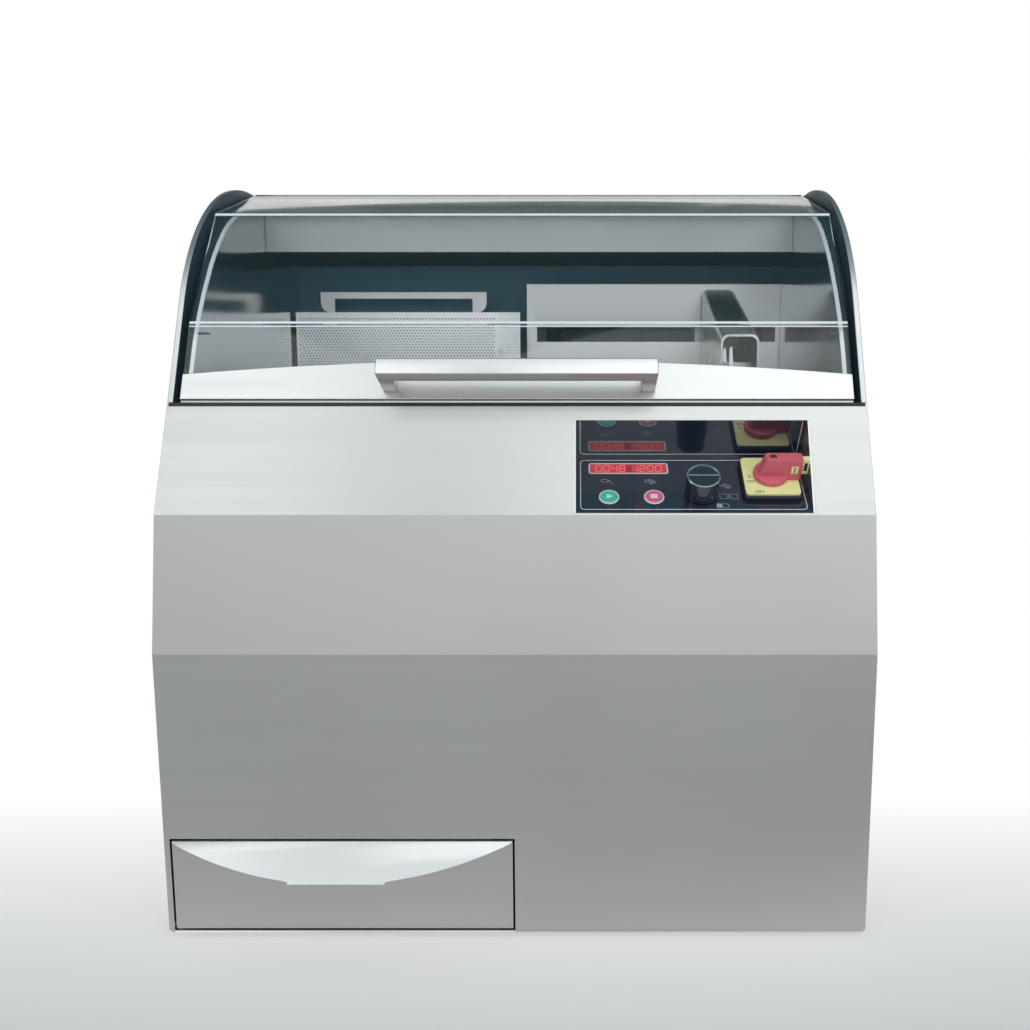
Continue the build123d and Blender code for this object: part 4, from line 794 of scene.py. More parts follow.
class SpreadTree:
    """Geometry nodes that set a copy of a model at every point of a mesh."""

    def __init__(self) -> None:
        """Builds the tree."""
        desk = Desk(bpy.data.node_groups.new("spread_on_points", "GeometryNodeTree"))
        self.tree = desk.tree
        desk.socket("Geometry", "NodeSocketGeometry")
        self.model = desk.socket("Model", "NodeSocketObject")
        self.material = desk.socket("Material", "NodeSocketMaterial")
        desk.socket("Geometry", "NodeSocketGeometry", into=False)
        source = desk.add("NodeGroupInput")
        model = desk.add("GeometryNodeObjectInfo", {"Object": source.outputs["Model"]})
        copies = desk.add("GeometryNodeInstanceOnPoints", {"Points": source.outputs["Geometry"],
                                                           "Instance": model.outputs["Geometry"]})
        real = desk.add("GeometryNodeRealizeInstances", {"Geometry": copies.outputs[0]})
        dressed = desk.add("GeometryNodeSetMaterial", {"Geometry": real.outputs[0],
                                                       "Material": source.outputs["Material"]})
        desk.add("NodeGroupOutput", {0: dressed.outputs[0]})

    def run(self, model: bpy.types.Mesh, places: list[Vector], finish: Finish) -> bpy.types.Mesh:
        """Sets copies of a model at places.

        Args:
            model: The model's mesh, about its own origin, in metres.
            places: Where the copies go.
            finish: Their finish.

        Returns:
            All copies as one mesh.
        """
        points = bpy.data.meshes.new("points")
        points.from_pydata([tuple(place) for place in places], [], [])
        master = bpy.data.objects.new("model", model)
        bpy.context.scene.collection.objects.link(master)
        values = {self.model: master, self.material: material_of(finish)}
        mesh = grown(self.tree, values, points)
        bpy.data.objects.remove(master)
        return mesh


class PiercedTree:
    """Geometry nodes that punch staggered round holes through a flat sheet."""

    def __init__(self) -> None:
        """Builds the tree."""
        desk = Desk(bpy.data.node_groups.new("pierced_sheet", "GeometryNodeTree"))
        self.tree = desk.tree
        number = "NodeSocketFloat"
        self.width = desk.socket("Width", number)
        self.height = desk.socket("Height", number)
        self.sheet = desk.socket("Sheet", number)
        self.hole = desk.socket("Hole Radius", number)
        self.field_width = desk.socket("Field Width", number)
        self.field_height = desk.socket("Field Height", number)
        self.columns = desk.socket("Columns", "NodeSocketInt")
        self.rows = desk.socket("Rows", "NodeSocketInt")
        self.stagger = desk.socket("Stagger", "NodeSocketVector")
        self.middle = desk.socket("Middle", "NodeSocketVector")
        self.material = desk.socket("Material", "NodeSocketMaterial")
        desk.socket("Geometry", "NodeSocketGeometry", into=False)
        given = desk.add("NodeGroupInput").outputs
        lattice = desk.add("GeometryNodeMeshGrid", {
            "Size X": given["Field Width"], "Size Y": given["Field Height"],
            "Vertices X": given["Columns"], "Vertices Y": given["Rows"]})
        shift = desk.add("ShaderNodeVectorMath", {0: given["Stagger"], "Scale": 0.5}, operation="SCALE")
        counter = desk.add("ShaderNodeVectorMath", {0: given["Stagger"], "Scale": -0.5}, operation="SCALE")
        first = desk.add("GeometryNodeTransform", {"Geometry": lattice.outputs[0],
                                                   "Translation": counter.outputs[0]})
        second = desk.add("GeometryNodeTransform", {"Geometry": lattice.outputs[0],
                                                    "Translation": shift.outputs[0]})
        spots = desk.add("GeometryNodeJoinGeometry", {0: first.outputs[0]})
        desk.tree.links.new(second.outputs[0], spots.inputs[0])
        hole = desk.add("GeometryNodeCurvePrimitiveCircle", {"Resolution": 8, "Radius": given["Hole Radius"]},
                        mode="RADIUS")
        holes = desk.add("GeometryNodeInstanceOnPoints", {"Points": spots.outputs[0],
                                                          "Instance": hole.outputs[0]})
        rims = desk.add("GeometryNodeRealizeInstances", {"Geometry": holes.outputs[0]})
        border = desk.add("GeometryNodeCurvePrimitiveQuadrilateral", {
            "Width": given["Width"], "Height": given["Height"]}, mode="RECTANGLE")
        lines = desk.add("GeometryNodeJoinGeometry", {0: rims.outputs[0]})
        desk.tree.links.new(border.outputs[0], lines.inputs[0])
        flat = desk.add("GeometryNodeFillCurve", {"Curve": lines.outputs[0]}, mode="TRIANGLES")
        raised = desk.add("GeometryNodeExtrudeMesh", {"Mesh": flat.outputs[0], "Offset Scale": given["Sheet"],
                                                      "Individual": False}, mode="FACES")
        under = desk.add("GeometryNodeFlipFaces", {"Mesh": flat.outputs[0]})
        both = desk.add("GeometryNodeJoinGeometry", {0: raised.outputs[0]})
        desk.tree.links.new(under.outputs[0], both.inputs[0])
        closed = desk.add("GeometryNodeMergeByDistance", {"Geometry": both.outputs[0], "Distance": 1e-6})
        stood = desk.add("GeometryNodeTransform", {
            "Geometry": closed.outputs[0], "Translation": given["Middle"],
            "Rotation": (math.pi / 2, 0.0, 0.0)})
        real = desk.add("GeometryNodeRealizeInstances", {"Geometry": stood.outputs[0]})
        dressed = desk.add("GeometryNodeSetMaterial", {"Geometry": real.outputs[0],
                                                       "Material": given["Material"]})
        desk.add("NodeGroupOutput", {0: dressed.outputs[0]})

    def run(self, size: Triple, hole: float, field: Pair,
            counts: tuple[int, int], stagger: Pair, middle: Vector,
            finish: Finish) -> bpy.types.Mesh:
        """Punches one sheet that stands upright and faces the front.

        Args:
            size: Width, height and thickness of the sheet.
            hole: Radius of a hole.
            field: Width and height between the outermost holes of one lattice.
            counts: Holes of one lattice across and up.
            stagger: Shift of the second lattice, across and up.
            middle: Middle of the sheet's rear face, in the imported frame.
            finish: The sheet's finish.

        Returns:
            The sheet as a mesh.
        """
        values = {self.width: size[0] * MM, self.height: size[1] * MM, self.sheet: size[2] * MM,
                  self.hole: hole * MM, self.field_width: field[0] * MM, self.field_height: field[1] * MM,
                  self.columns: counts[0], self.rows: counts[1],
                  self.stagger: (stagger[0] * MM, stagger[1] * MM, 0.0), self.middle: tuple(middle),
                  self.material: material_of(finish)}
        return grown(self.tree, values, bpy.data.meshes.new("sheet"))


def joined(*meshes: bpy.types.Mesh) -> bpy.types.Mesh:
    """Makes one mesh of several.

    Args:
        meshes: The meshes, which stay as they are.

    Returns:
        The new mesh.
    """
    whole = bmesh.new()
    for mesh in meshes:
        whole.from_mesh(mesh)
    return finished(whole, "joined")


def paint(finish: Finish, *nodes: str) -> None:
    """Gives frame nodes that stay in sight a finish.

    Args:
        finish: The finish.
        nodes: The nodes' names.
    """
    for node in nodes:
        data = frame["nodes"][node].data
        data.materials.clear()
        data.materials.append(material_of(finish))


@dataclass
class Casing:
    """Folded steel casing with its cheeks, cover, screws, seals, feet and rear vents."""

    spread: SpreadTree
    panel_edge: float = 0.5
    fold_crease: float = 5.0
    cheek_edge: float = 1.0
    roof_start: float = 355.0
    roof_lift: float = 0.2
    screw_radius: float = 3.0
    screw_head: float = 1.6
    screw_profile: tuple[Pair, ...] = (
        (0.5, -5.0), (0.5, 0.0), (1.0, 0.0), (1.0, 0.5), (0.8, 0.92), (0.55, 1.0), (0.5, 0.5))
    screw_steps: int = 24
    sill_screws: tuple[float, ...] = (-98.0, 111.0, 270.0)
    sill_depth: float = 81.333
    sill_height: float = 545.0
    sill_front: float = 70.0
    facet_way: Pair = (0.3898, 0.9209)
    nosing_depths: Pair = (71.2, 77.0)
    nosing_half: float = 349.0
    nosing_height: float = 2.1
    nosing_edge: float = 0.4
    seal_half: float = 361.0
    seal_height: float = 4.0
    seal_sheet: Pair = (-0.3, 0.5)
    seal_edge: float = 0.3
    rear_seal: Pair = (744.0, 748.1)
    rear_seal_half: float = 356.9
    rear_seal_sheet: Pair = (0.2, 3.0)
    rear_column: float = 355.0
    rear_rows: tuple[float, ...] = (16.0, 187.0, 358.0, 529.0)
    foot_radius: float = 20.0
    foot_height: float = 8.0
    foot_profile: tuple[Pair, ...] = (
        (0.25, -0.75), (0.25, -1.0), (0.85, -1.0), (0.95, -0.9), (1.0, -0.7), (1.0, -0.1), (0.97, 0.0))
    vent_size: Pair = (40.0, 6.0)
    vent_pitch: Pair = (54.0, 16.0)
    vent_counts: tuple[int, int] = (10, 4)
    vent_lowest: float = 250.0
    vent_rim: float = 1.0
    vent_sheet: Pair = (-0.2, 0.6)

    def build(self) -> None:
        """Makes every piece of the casing."""
        self.panels()
        self.screws()
        self.seal()
        self.feet()
        self.vents()

    def panels(self) -> None:
        """Sheet panels with broken edges; the front panel's folds stay crisp, and the roof's rear underside
        and the cheeks' inner faces get dark coats as painted shade.
        """
        softened("front_panel", self.panel_edge, CASING_STEEL, crease=self.fold_crease)
        for node in ("rear_panel", "base_plate"):
            softened(node, self.panel_edge, CASING_STEEL)
        # The top cover's underside behind roof_start gets the dark blue coat: painted shade.
        start = (self.roof_start - MIDDLE_DEPTH) * MM
        softened("top_cover", self.panel_edge, COVER_STEEL, other=PAINTED_SHADE_ROOF,
                 picks=lambda centre, normal: (
                     normal.z < self.roof_lift and centre.y > start and abs(normal.x) < FACING))
        for node in ("left_side_panel", "right_side_panel"):
            softened(node, self.panel_edge, SIDE_STEEL)
        # The cheeks' inner faces get the dark coat: painted shade.
        for node, inwards in (("left_cheek", 1), ("right_cheek", -1)):
            softened(node, self.cheek_edge, SIDE_STEEL, other=PAINTED_SHADE_COAT,
                     picks=lambda centre, normal, inwards=inwards: normal.x * inwards > FACING)
        softened("power_inlet", self.panel_edge, SATIN_BLACK)

    def screw(self, up: Vector, across: Vector) -> bpy.types.Mesh:
        """One socket screw, whose head points square to both directions.

        Args:
            up: Direction of local y.
            across: Direction of local x.

        Returns:
            The screw about its own origin.
        """
        profile = scaled(self.screw_profile, self.screw_radius, self.screw_head)
        shape = Shape(facing(ORIGIN, across, up))
        shape.turned(profile, POLISHED_STEEL, steps=self.screw_steps)
        return shape.mesh()

    def screws(self) -> None:
        """Screws along the sill and down both sides of the rear panel."""
        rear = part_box("rear_panel")[1].y
        sill = [bench(x, self.sill_depth, self.sill_height) for x in self.sill_screws]
        back = [Vector((side * self.rear_column * MM, rear, (z + TABLE_RISE) * MM))
                for side in (-1, 1) for z in self.rear_rows]
        mesh = joined(self.spread.run(self.screw(BACK, RIGHT), sill, POLISHED_STEEL),
                      self.spread.run(self.screw(UP, -RIGHT), back, POLISHED_STEEL))
        as_piece("panel_screws_turned", mesh, [POLISHED_STEEL], "cabinet", ("panel_screws",))

    def seal(self) -> None:
        """Steel nosing on the sill, a rubber line along the sill's front edge and one over the rear panel."""
        shape = Shape(facing(bench(0.0, 0.0, self.sill_height), RIGHT, BACK))
        shape.plate(band(self.nosing_half, *self.nosing_depths), 0.0, self.nosing_height, HOOD_STEEL,
                    soft=self.nosing_edge)
        shape.piece("sill_nosing", "cabinet", Slot.BRIGHT)
        facet = Vector((0.0, *self.facet_way))
        shape = Shape(facing(bench(0.0, self.sill_front, self.sill_height), RIGHT, facet))
        shape.plate(band(self.seal_half, -self.seal_height, 0.0), *self.seal_sheet, FOOT_RUBBER,
                    soft=self.seal_edge)
        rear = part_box("rear_panel")[1].y / MM + MIDDLE_DEPTH
        near, far = self.rear_seal_sheet
        shape.place = facing(bench(0.0, 0.0, 0.0), RIGHT, UP)
        shape.plate(band(self.rear_seal_half, *self.rear_seal), near - rear, far - rear, FOOT_RUBBER)
        shape.piece("casing_seals", "cabinet", Slot.FOOT)

    def feet(self) -> None:
        """Four rubber feet with a screw recess underneath."""
        low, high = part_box("rubber_feet")
        shape = Shape(facing(ORIGIN, RIGHT, BACK))
        shape.turned(scaled(self.foot_profile, self.foot_radius, self.foot_height), FOOT_RUBBER)
        inset = self.foot_radius * MM
        places = [Vector((x, y, high.z)) for x in (low.x + inset, high.x - inset)
                  for y in (low.y + inset, high.y - inset)]
        mesh = self.spread.run(shape.mesh(), places, FOOT_RUBBER)
        as_piece("rubber_feet_moulded", mesh, [FOOT_RUBBER], "cabinet", ("rubber_feet",))

    def vents(self) -> None:
        """Raised rims round the rear panel's vent slots."""
        wide, high = self.vent_size[0] / 2, self.vent_size[1] / 2
        rim = self.vent_rim
        middle = (0.0, 0.0)
        shape = Shape(facing(ORIGIN, -RIGHT, UP))
        shape.ring(centred_box(middle, wide + rim, high + rim, high + rim),
                   centred_box(middle, wide, high, high), *self.vent_sheet, CASING_STEEL)
        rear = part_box("rear_panel")[1].y
        columns, rows = self.vent_counts
        places = [Vector(((column - (columns - 1) / 2) * self.vent_pitch[0] * MM, rear,
                          (self.vent_lowest + row * self.vent_pitch[1] + TABLE_RISE) * MM))
                  for column in range(columns) for row in range(rows)]
        mesh = self.spread.run(shape.mesh(), places, CASING_STEEL)
        as_piece("vent_rims", mesh, [CASING_STEEL], "cabinet")


@dataclass
class Chamber:
    """Steel chamber under the hood, with the wall behind it coated dark blue as painted shade."""

    sheet_edge: float = 0.4
    lip_start: float = 345.4
    liner_inner: float = 343.0
    front_radius: float = 218.0
    front_sheet: Pair = (-0.4, 1.6)
    bead: float = 2.0
    bead_sheet: Pair = (-0.8, 3.4)
    front_edge: tuple[Pair, ...] = (
        (86.0, 560.0), (94.5, 580.0), (106.0, 606.0), (120.5, 633.5), (140.0, 662.5), (163.0, 692.0),
        (176.0, 706.5), (192.0, 722.0), (208.0, 735.8), (225.0, 747.5), (249.0, 760.0), (270.0, 769.0))

    def build(self) -> None:
        """Dresses the liners, the feed panel, the floors and the bay."""
        # The liners' outer lips, in the gap beside the cheeks, get the dark coat: painted shade.
        for node in ("left_liner", "right_liner"):
            softened(node, self.sheet_edge, LINER_STEEL, other=PAINTED_SHADE_COAT,
                     picks=lambda centre, normal: abs(centre.x) > self.lip_start * MM)
        self.liner_fronts()
        softened("feed_back_panel", self.sheet_edge, CHAMBER_STEEL)
        paint(CHAMBER_STEEL, "left_floor", "right_floor", "crumb_chute", "drawer_runners", "control_pan")
        # The bay wall gets the dark blue coat: painted shade in the deep bay.
        paint(PAINTED_SHADE_BAY, "bay_wall")

    def liner_fronts(self) -> None:
        """Front parts of the liners that follow the hood, with a raised bead along the edge whose near-white
        colour is a painted highlight.
        """
        middle = Vector(HOOD_ARC_CENTRE)
        inner = []
        for depth, height in self.front_edge:
            arm = Vector((depth, height)) - middle
            inner.append(tuple(middle + arm.normalized() * self.front_radius))
        front = [*self.front_edge, *inner[::-1]]
        bead = ribbon(list(self.front_edge), self.bead)
        shape = Shape(facing(bench(0.0, 0.0, 0.0), BACK, UP))
        for side in (-1, 1):
            for outline, sheet, finish in ((front, self.front_sheet, LINER_STEEL),
                                           (bead, self.bead_sheet, PAINTED_HIGHLIGHT_BEAD)):
                near, far = sorted(side * (self.liner_inner + reach) for reach in sheet)
                shape.plate(outline, near, far, finish)
        shape.piece("liner_fronts", "cabinet", Slot.CHAMBER)


@dataclass
class Hood:
    """Clear bent hood with its steel strip, bar handle, hinge rail and rubber tabs."""

    half_width: float = 350.0
    outer_bend: float = 9.0
    sheet: float = 5.0
    bend_steps: int = 6
    # Places of the pale strips on the crease and the fold: painted highlights.
    crease_lines: tuple[Pair, ...] = ((1.8, -1.0), (-3.6, -4.8))
    fold_lines: tuple[Pair, ...] = ((-0.6, -4.0),)
    line_proud: float = 0.15
    tab_span: Pair = (331.0, 342.0)
    tab_depths: Pair = (108.5, 117.0)
    tab_height: float = 618.0
    tab_sheet: float = 2.2
    tab_corner: float = 1.0
    strip_edge: float = 0.6
    handle_ends: Pair = (-139.2, 143.6)
    handle_rise: Pair = (7.8, 25.4)
    handle_reach: Triple = (2.0, 32.0, 48.0)
    handle_leg: float = 15.0
    handle_edge: float = 1.3

    def build(self) -> None:
        """Makes every piece of the hood."""
        self.clear_sheet()
        softened("hood_strip", self.strip_edge, HOOD_STEEL)
        self.handle()
        self.tabs()
        paint(POLISHED_STEEL, "hood_hinge_rail")

    def paths(self) -> tuple[Outline, Outline]:
        """Reads the sheet's section from the frame.

        Returns:
            Its outer and its inner path, as (y, z) points from the foot up.
        """
        middle = bench(0.0, *HOOD_ARC_CENTRE)
        centre = (middle.y, middle.z)
        spots = {(round(v.co.y, 5), round(v.co.z, 5)) for v in frame["nodes"]["hood_glass"].data.vertices}
        ordered = sorted(spots, key=lambda spot: math.atan2(spot[1] - middle.z, middle.y - spot[0]))
        outer: Outline = []
        inner: Outline = []
        for pair in zip(ordered[::2], ordered[1::2]):
            near, far = sorted(pair, key=lambda spot: math.dist(spot, centre))
            inner.append(near)
            outer.append(far)
        return outer, inner

    def bent(self, path: Outline, radius: float) -> Outline:
        """Turns a path's corners into bends.

        Args:
            path: The path with sharp corners.
            radius: Radius of the bends, in metres.

        Returns:
            The bent path.
        """
        points = [path[0]]
        for before, corner, after in zip(path, path[1:], path[2:]):
            start = (Vector(before) - Vector(corner)).normalized()
            end = (Vector(after) - Vector(corner)).normalized()
            half = start.angle(end) / 2
            reach = radius / math.tan(half)
            centre = Vector(corner) + (start + end).normalized() * (radius / math.sin(half))
            first = Vector(corner) + start * reach - centre
            last = Vector(corner) + end * reach - centre
            for step in range(self.bend_steps + 1):
                share = step / self.bend_steps
                arm = (first * (1 - share) + last * share).normalized() * radius
                points.append(tuple(centre + arm))
        return points + [path[-1]]

    def clear_sheet(self) -> None:
        """The bent sheet, with pale strips along its bends as painted highlights."""
        outer_path, inner_path = self.paths()
        outer = self.bent(outer_path, self.outer_bend * MM)
        inner = self.bent(inner_path, (self.outer_bend - self.sheet) * MM)
        half = self.half_width * MM
        shape = bmesh.new()
        rows = [[shape.verts.new((x, y, z)) for y, z in outer + inner[::-1]] for x in (-half, half)]
        count = len(rows[0])
        skirt(shape, *rows)
        for row in rows:
            for index in range(len(outer) - 1):
                shape.faces.new((row[index], row[index + 1], row[count - 2 - index], row[count - 1 - index]))
        bmesh.ops.recalc_face_normals(shape, faces=shape.faces)
        mesh = finished(shape, "clear_sheet")
        as_piece("hood_clear_sheet", mesh, [CLEAR_SHEET], "hood", ("hood_glass",))
        self.bright_lines(outer_path)

    def along(self, path: Outline, corner: int, distance: float) -> tuple[Vector, Vector]:
        """Finds a place on the sheet's outer face.

        Args:
            path: The outer path.
            corner: Number of a corner.
            distance: Signed distance from that corner, in millimetres.

        Returns:
            The point and the outward normal there, as (y, z).
        """
        step = 1 if distance > 0 else -1
        first, second = Vector(path[corner]), Vector(path[corner + step])
        way = (second - first).normalized()
        out = Vector((-way.y, way.x)) * step
        return first + way * abs(distance) * MM, out

    def bright_lines(self, path: Outline) -> None:
        """Painted highlights along the bends: pale strips lying on the sheet.

        Args:
            path: The sheet's outer path.
        """
        shape = Shape(SIDEWAYS)
        for corner, lines in ((1, self.crease_lines), (2, self.fold_lines)):
            for high, low in lines:
                spots = [self.along(path, corner, high), self.along(path, corner, low)]
                if high * low < 0:
                    spots.insert(1, (Vector(path[corner]), (spots[0][1] + spots[1][1]).normalized()))
                self.strip(shape, spots)
        shape.piece("hood_bright_lines", "hood", Slot.HOOD)

    def strip(self, shape: Shape, spots: list[tuple[Vector, Vector]]) -> None:
        """A thin strip over points of the sheet's outer face.

        Args:
            shape: The piece that it joins.
            spots: Points and normals, as (y, z), along the strip.
        """
        half, proud = self.half_width * MM, self.line_proud * MM
        over = [tuple(spot + out * proud) for spot, out in spots]
        under = [tuple(spot - out * proud) for spot, out in reversed(spots)]
        shape.plate(over + under, -half, half, PAINTED_BEND_HIGHLIGHT)

    def handle(self) -> None:
        """Square bar on two legs, standing out from the strip."""
        path = self.paths()[0]
        foot, crease = (Vector((0.0, *spot)) for spot in path[:2])
        rise = (crease - foot).normalized()
        (left, right), leg = self.handle_ends, self.handle_leg
        root, inner, outer = self.handle_reach
        outline = [(left, root), (left + leg, root), (left + leg, inner), (right - leg, inner),
                   (right - leg, root), (right, root), (right, outer), (left, outer)]
        low, high = self.handle_rise
        shape = Shape(facing(foot, RIGHT, RIGHT.cross(rise)))
        shape.plate(outline, -high, -low, HOOD_STEEL, soft=self.handle_edge, whole=True)
        shape.piece("hood_bar_handle", "hood", Slot.BRIGHT, ("hood_handle",))

    def tabs(self) -> None:
        """Thin rubber tabs under the crease that the closed hood rests on."""
        shape = Shape(facing(bench(0.0, 0.0, self.tab_height), RIGHT, BACK))
        (inner, outer), (front, back) = self.tab_span, self.tab_depths
        for side in (-1, 1):
            left, right = sorted((side * inner, side * outer))
            outline = rounded_box((left, front), (right, back), self.tab_corner)
            shape.plate(outline, -self.tab_sheet, 0.0, SATIN_BLACK)
        shape.piece("hood_tabs", "hood", Slot.FOOT, ("hood_bumpers",))


@dataclass
class CrumbDrawer:
    """Crumb drawer with its half-moon pull lip, and the casing's bright edge below it."""

    front_edge: float = 0.6
    middle: float = -179.5
    top: float = 98.6
    lip_half: float = 174.8
    lip_end: float = 2.2
    lip_drop: float = 43.8
    lip_sheet: float = 2.0
    tab_half: float = 49.0
    lip_edge: float = 0.4
    arc_steps: int = 20
    rim_half: float = 177.0
    rim: tuple[Pair, ...] = ((-1.4, -2.0), (0.8, -2.0), (0.8, 0.0))

    def build(self) -> None:
        """Dresses the front, the lip, the box and the casing's edge below."""
        softened("drawer_front", self.front_edge, CASING_STEEL)
        paint(CHAMBER_STEEL, "drawer_box")
        self.lip()
        self.lower_rim()

    def lip(self) -> None:
        """Half-moon lip that slopes forwards from the front's top edge, with a straight tab in its middle."""
        half, rise = self.lip_half, self.lip_drop - self.lip_end
        radius = (half**2 + rise**2) / (2 * rise)
        right = []
        for step in range(self.arc_steps + 1):
            x = half + (self.tab_half - half) * step / self.arc_steps
            right.append((x, self.lip_drop - radius + math.sqrt(radius**2 - x**2)))
        right.append((self.tab_half, self.lip_drop))
        outline = [(half, 0.0), *right, *((-x, y) for x, y in reversed(right)), (-half, 0.0)]
        slope = (-BACK - UP).normalized()
        shape = Shape(facing(bench(self.middle, 0.0, self.top), RIGHT, slope))
        shape.plate(outline, 0.0, self.lip_sheet, HOOD_STEEL, soft=self.lip_edge, whole=True)
        shape.piece("drawer_pull_lip", BODY_OF["drawer_lip"], Slot.BRIGHT, ("drawer_lip",))

    def lower_rim(self) -> None:
        """Bright sloping edge of the casing's base under the drawer."""
        shape = Shape(facing(bench(self.middle, 0.0, 0.0), BACK, UP))
        shape.plate(list(self.rim), -self.rim_half, self.rim_half, HOOD_STEEL)
        shape.piece("base_rim", "cabinet", Slot.BRIGHT)


@dataclass
class Guard:
    """Pierced plate behind the slices, with a pale strip at its right, a pull bracket and pins."""

    pierced: PiercedTree
    left: float = -339.0
    band: float = -52.0
    right: float = -19.0
    heights: Pair = (490.3, 664.0)
    depth: float = 462.0
    sheet: float = 1.5
    holes: Pair = (1.15, 0.65)
    pitch: float = 4.6
    bracket: Pair = (-302.5, -66.5)
    bracket_top: float = 692.0
    bracket_bar: float = 9.0
    ear: float = 20.0
    ear_corner: float = 13.0
    corner_steps: int = 8

    def build(self) -> None:
        """Makes the plate, the bracket and the pins."""
        mesh = joined(self.field(self.left, self.band, self.holes[0], PIERCED_STEEL),
                      self.field(self.band, self.right, self.holes[1], PALE_STEEL))
        pale = self.band * MM
        for face in mesh.polygons:
            face.material_index = int(face.center.x > pale)
        as_piece("guard_pierced_plate", mesh, [PIERCED_STEEL, PALE_STEEL], "guard",
                 ("guard_plate",))
        self.pull()
        paint(POLISHED_STEEL, "guard_pins")

    def field(self, left: float, right: float, hole: float, finish: Finish) -> bpy.types.Mesh:
        """One pierced part of the plate.

        Args:
            left: Its left end.
            right: Its right end.
            hole: Radius of its holes.
            finish: Its finish.

        Returns:
            The part's mesh.
        """
        low, high = self.heights
        rise = self.pitch * math.sqrt(3)
        counts = (int((right - left - self.pitch) / self.pitch), int((high - low - rise) / rise))
        field = ((counts[0] - 1) * self.pitch, (counts[1] - 1) * rise)
        middle = bench((left + right) / 2, self.depth + self.sheet, (low + high) / 2)
        return self.pierced.run((right - left, high - low, self.sheet), hole, field, counts,
                                (self.pitch / 2, rise / 2), middle, finish)

    def pull(self) -> None:
        """Flat bracket on the plate's top edge: a bar on two ears with round outer corners."""
        (left, right), top, low = self.bracket, self.bracket_top, self.heights[1]
        r = self.ear_corner
        turns = [math.radians(90 * step / self.corner_steps) for step in range(self.corner_steps + 1)]
        left_corner = [(left + r - r * math.cos(turn), low + r - r * math.sin(turn)) for turn in turns]
        right_corner = [(right - r + r * math.sin(turn), low + r - r * math.cos(turn)) for turn in turns]
        window = top - self.bracket_bar
        outline = [(left, top), *left_corner, (left + self.ear, low), (left + self.ear, window),
                   (right - self.ear, window), (right - self.ear, low), *right_corner, (right, top)]
        shape = Shape(facing(bench(0.0, self.depth, 0.0), RIGHT, UP))
        shape.plate(outline, -self.sheet, 0.0, HOOD_STEEL)
        shape.piece("guard_pull", "guard", Slot.CHAMBER, ("guard_handle",))


@dataclass
class Gripper:
    """Loaf gripper: cover with a bright front rim, claws and carriage."""

    left: float = 234.0
    right: float = 280.0
    front: float = 232.0
    low: float = 500.0
    top: float = 622.0
    corner: float = 9.2
    rim: float = 2.6
    rim_sheet: Pair = (-0.5, 1.5)
    rim_edge: float = 0.5
    cover_edge: float = 0.5

    def build(self) -> None:
        """Makes every piece of the gripper."""
        axis = bench((self.left + self.right) / 2, 0.0, self.top - (self.right - self.left) / 2)
        # Faces inside the cover that look at its axis get the dark coat: painted shade.
        softened("gripper_cover", self.cover_edge, CHAMBER_STEEL, other=PAINTED_SHADE_COAT,
                 picks=lambda centre, normal: self.inside(centre - axis, normal))
        paint(CAST_ALLOY, "gripper_carriage")
        paint(POLISHED_STEEL, "gripper_claws")
        self.front_rim()

    @staticmethod
    def inside(arm: Vector, normal: Vector) -> bool:
        """Whether a face of the cover looks at the cover's own axis."""
        return abs(normal.y) < 0.5 and arm.x * normal.x + max(arm.z, 0.0) * normal.z < 0.0

    def front_rim(self) -> None:
        """Rolled rim round the open front end."""
        inset = self.rim / 2
        box = rounded_box((self.left + inset, self.low - 2 * self.corner),
                          (self.right - inset, self.top - inset), self.corner - inset)
        arch = [point for point in box if point[1] > self.low]
        path = [(self.right - inset, self.low), *arch, (self.left + inset, self.low)]
        shape = Shape(facing(bench(0.0, self.front, 0.0), RIGHT, UP))
        shape.plate(ribbon(path, self.rim), *self.rim_sheet, HOOD_STEEL, soft=self.rim_edge)
        shape.piece("gripper_front_rim", "gripper", Slot.CHAMBER)


class Segment(Enum):
    """Bars of a seven-bar digit, as end points in units of the digit's width and height."""

    TOP = ((0.0, 1.0), (1.0, 1.0))
    MIDDLE = ((0.0, 0.5), (1.0, 0.5))
    BOTTOM = ((0.0, 0.0), (1.0, 0.0))
    UPPER_LEFT = ((0.0, 0.5), (0.0, 1.0))
    UPPER_RIGHT = ((1.0, 0.5), (1.0, 1.0))
    LOWER_LEFT = ((0.0, 0.0), (0.0, 0.5))
    LOWER_RIGHT = ((1.0, 0.0), (1.0, 0.5))


LIT_BARS = {
    "0": tuple(bar for bar in Segment if bar is not Segment.MIDDLE),
    "1": (Segment.UPPER_RIGHT, Segment.LOWER_RIGHT),
    "2": (Segment.TOP, Segment.UPPER_RIGHT, Segment.MIDDLE, Segment.LOWER_LEFT, Segment.BOTTOM),
    "4": (Segment.UPPER_LEFT, Segment.UPPER_RIGHT, Segment.MIDDLE, Segment.LOWER_RIGHT),
    "8": tuple(Segment),
}


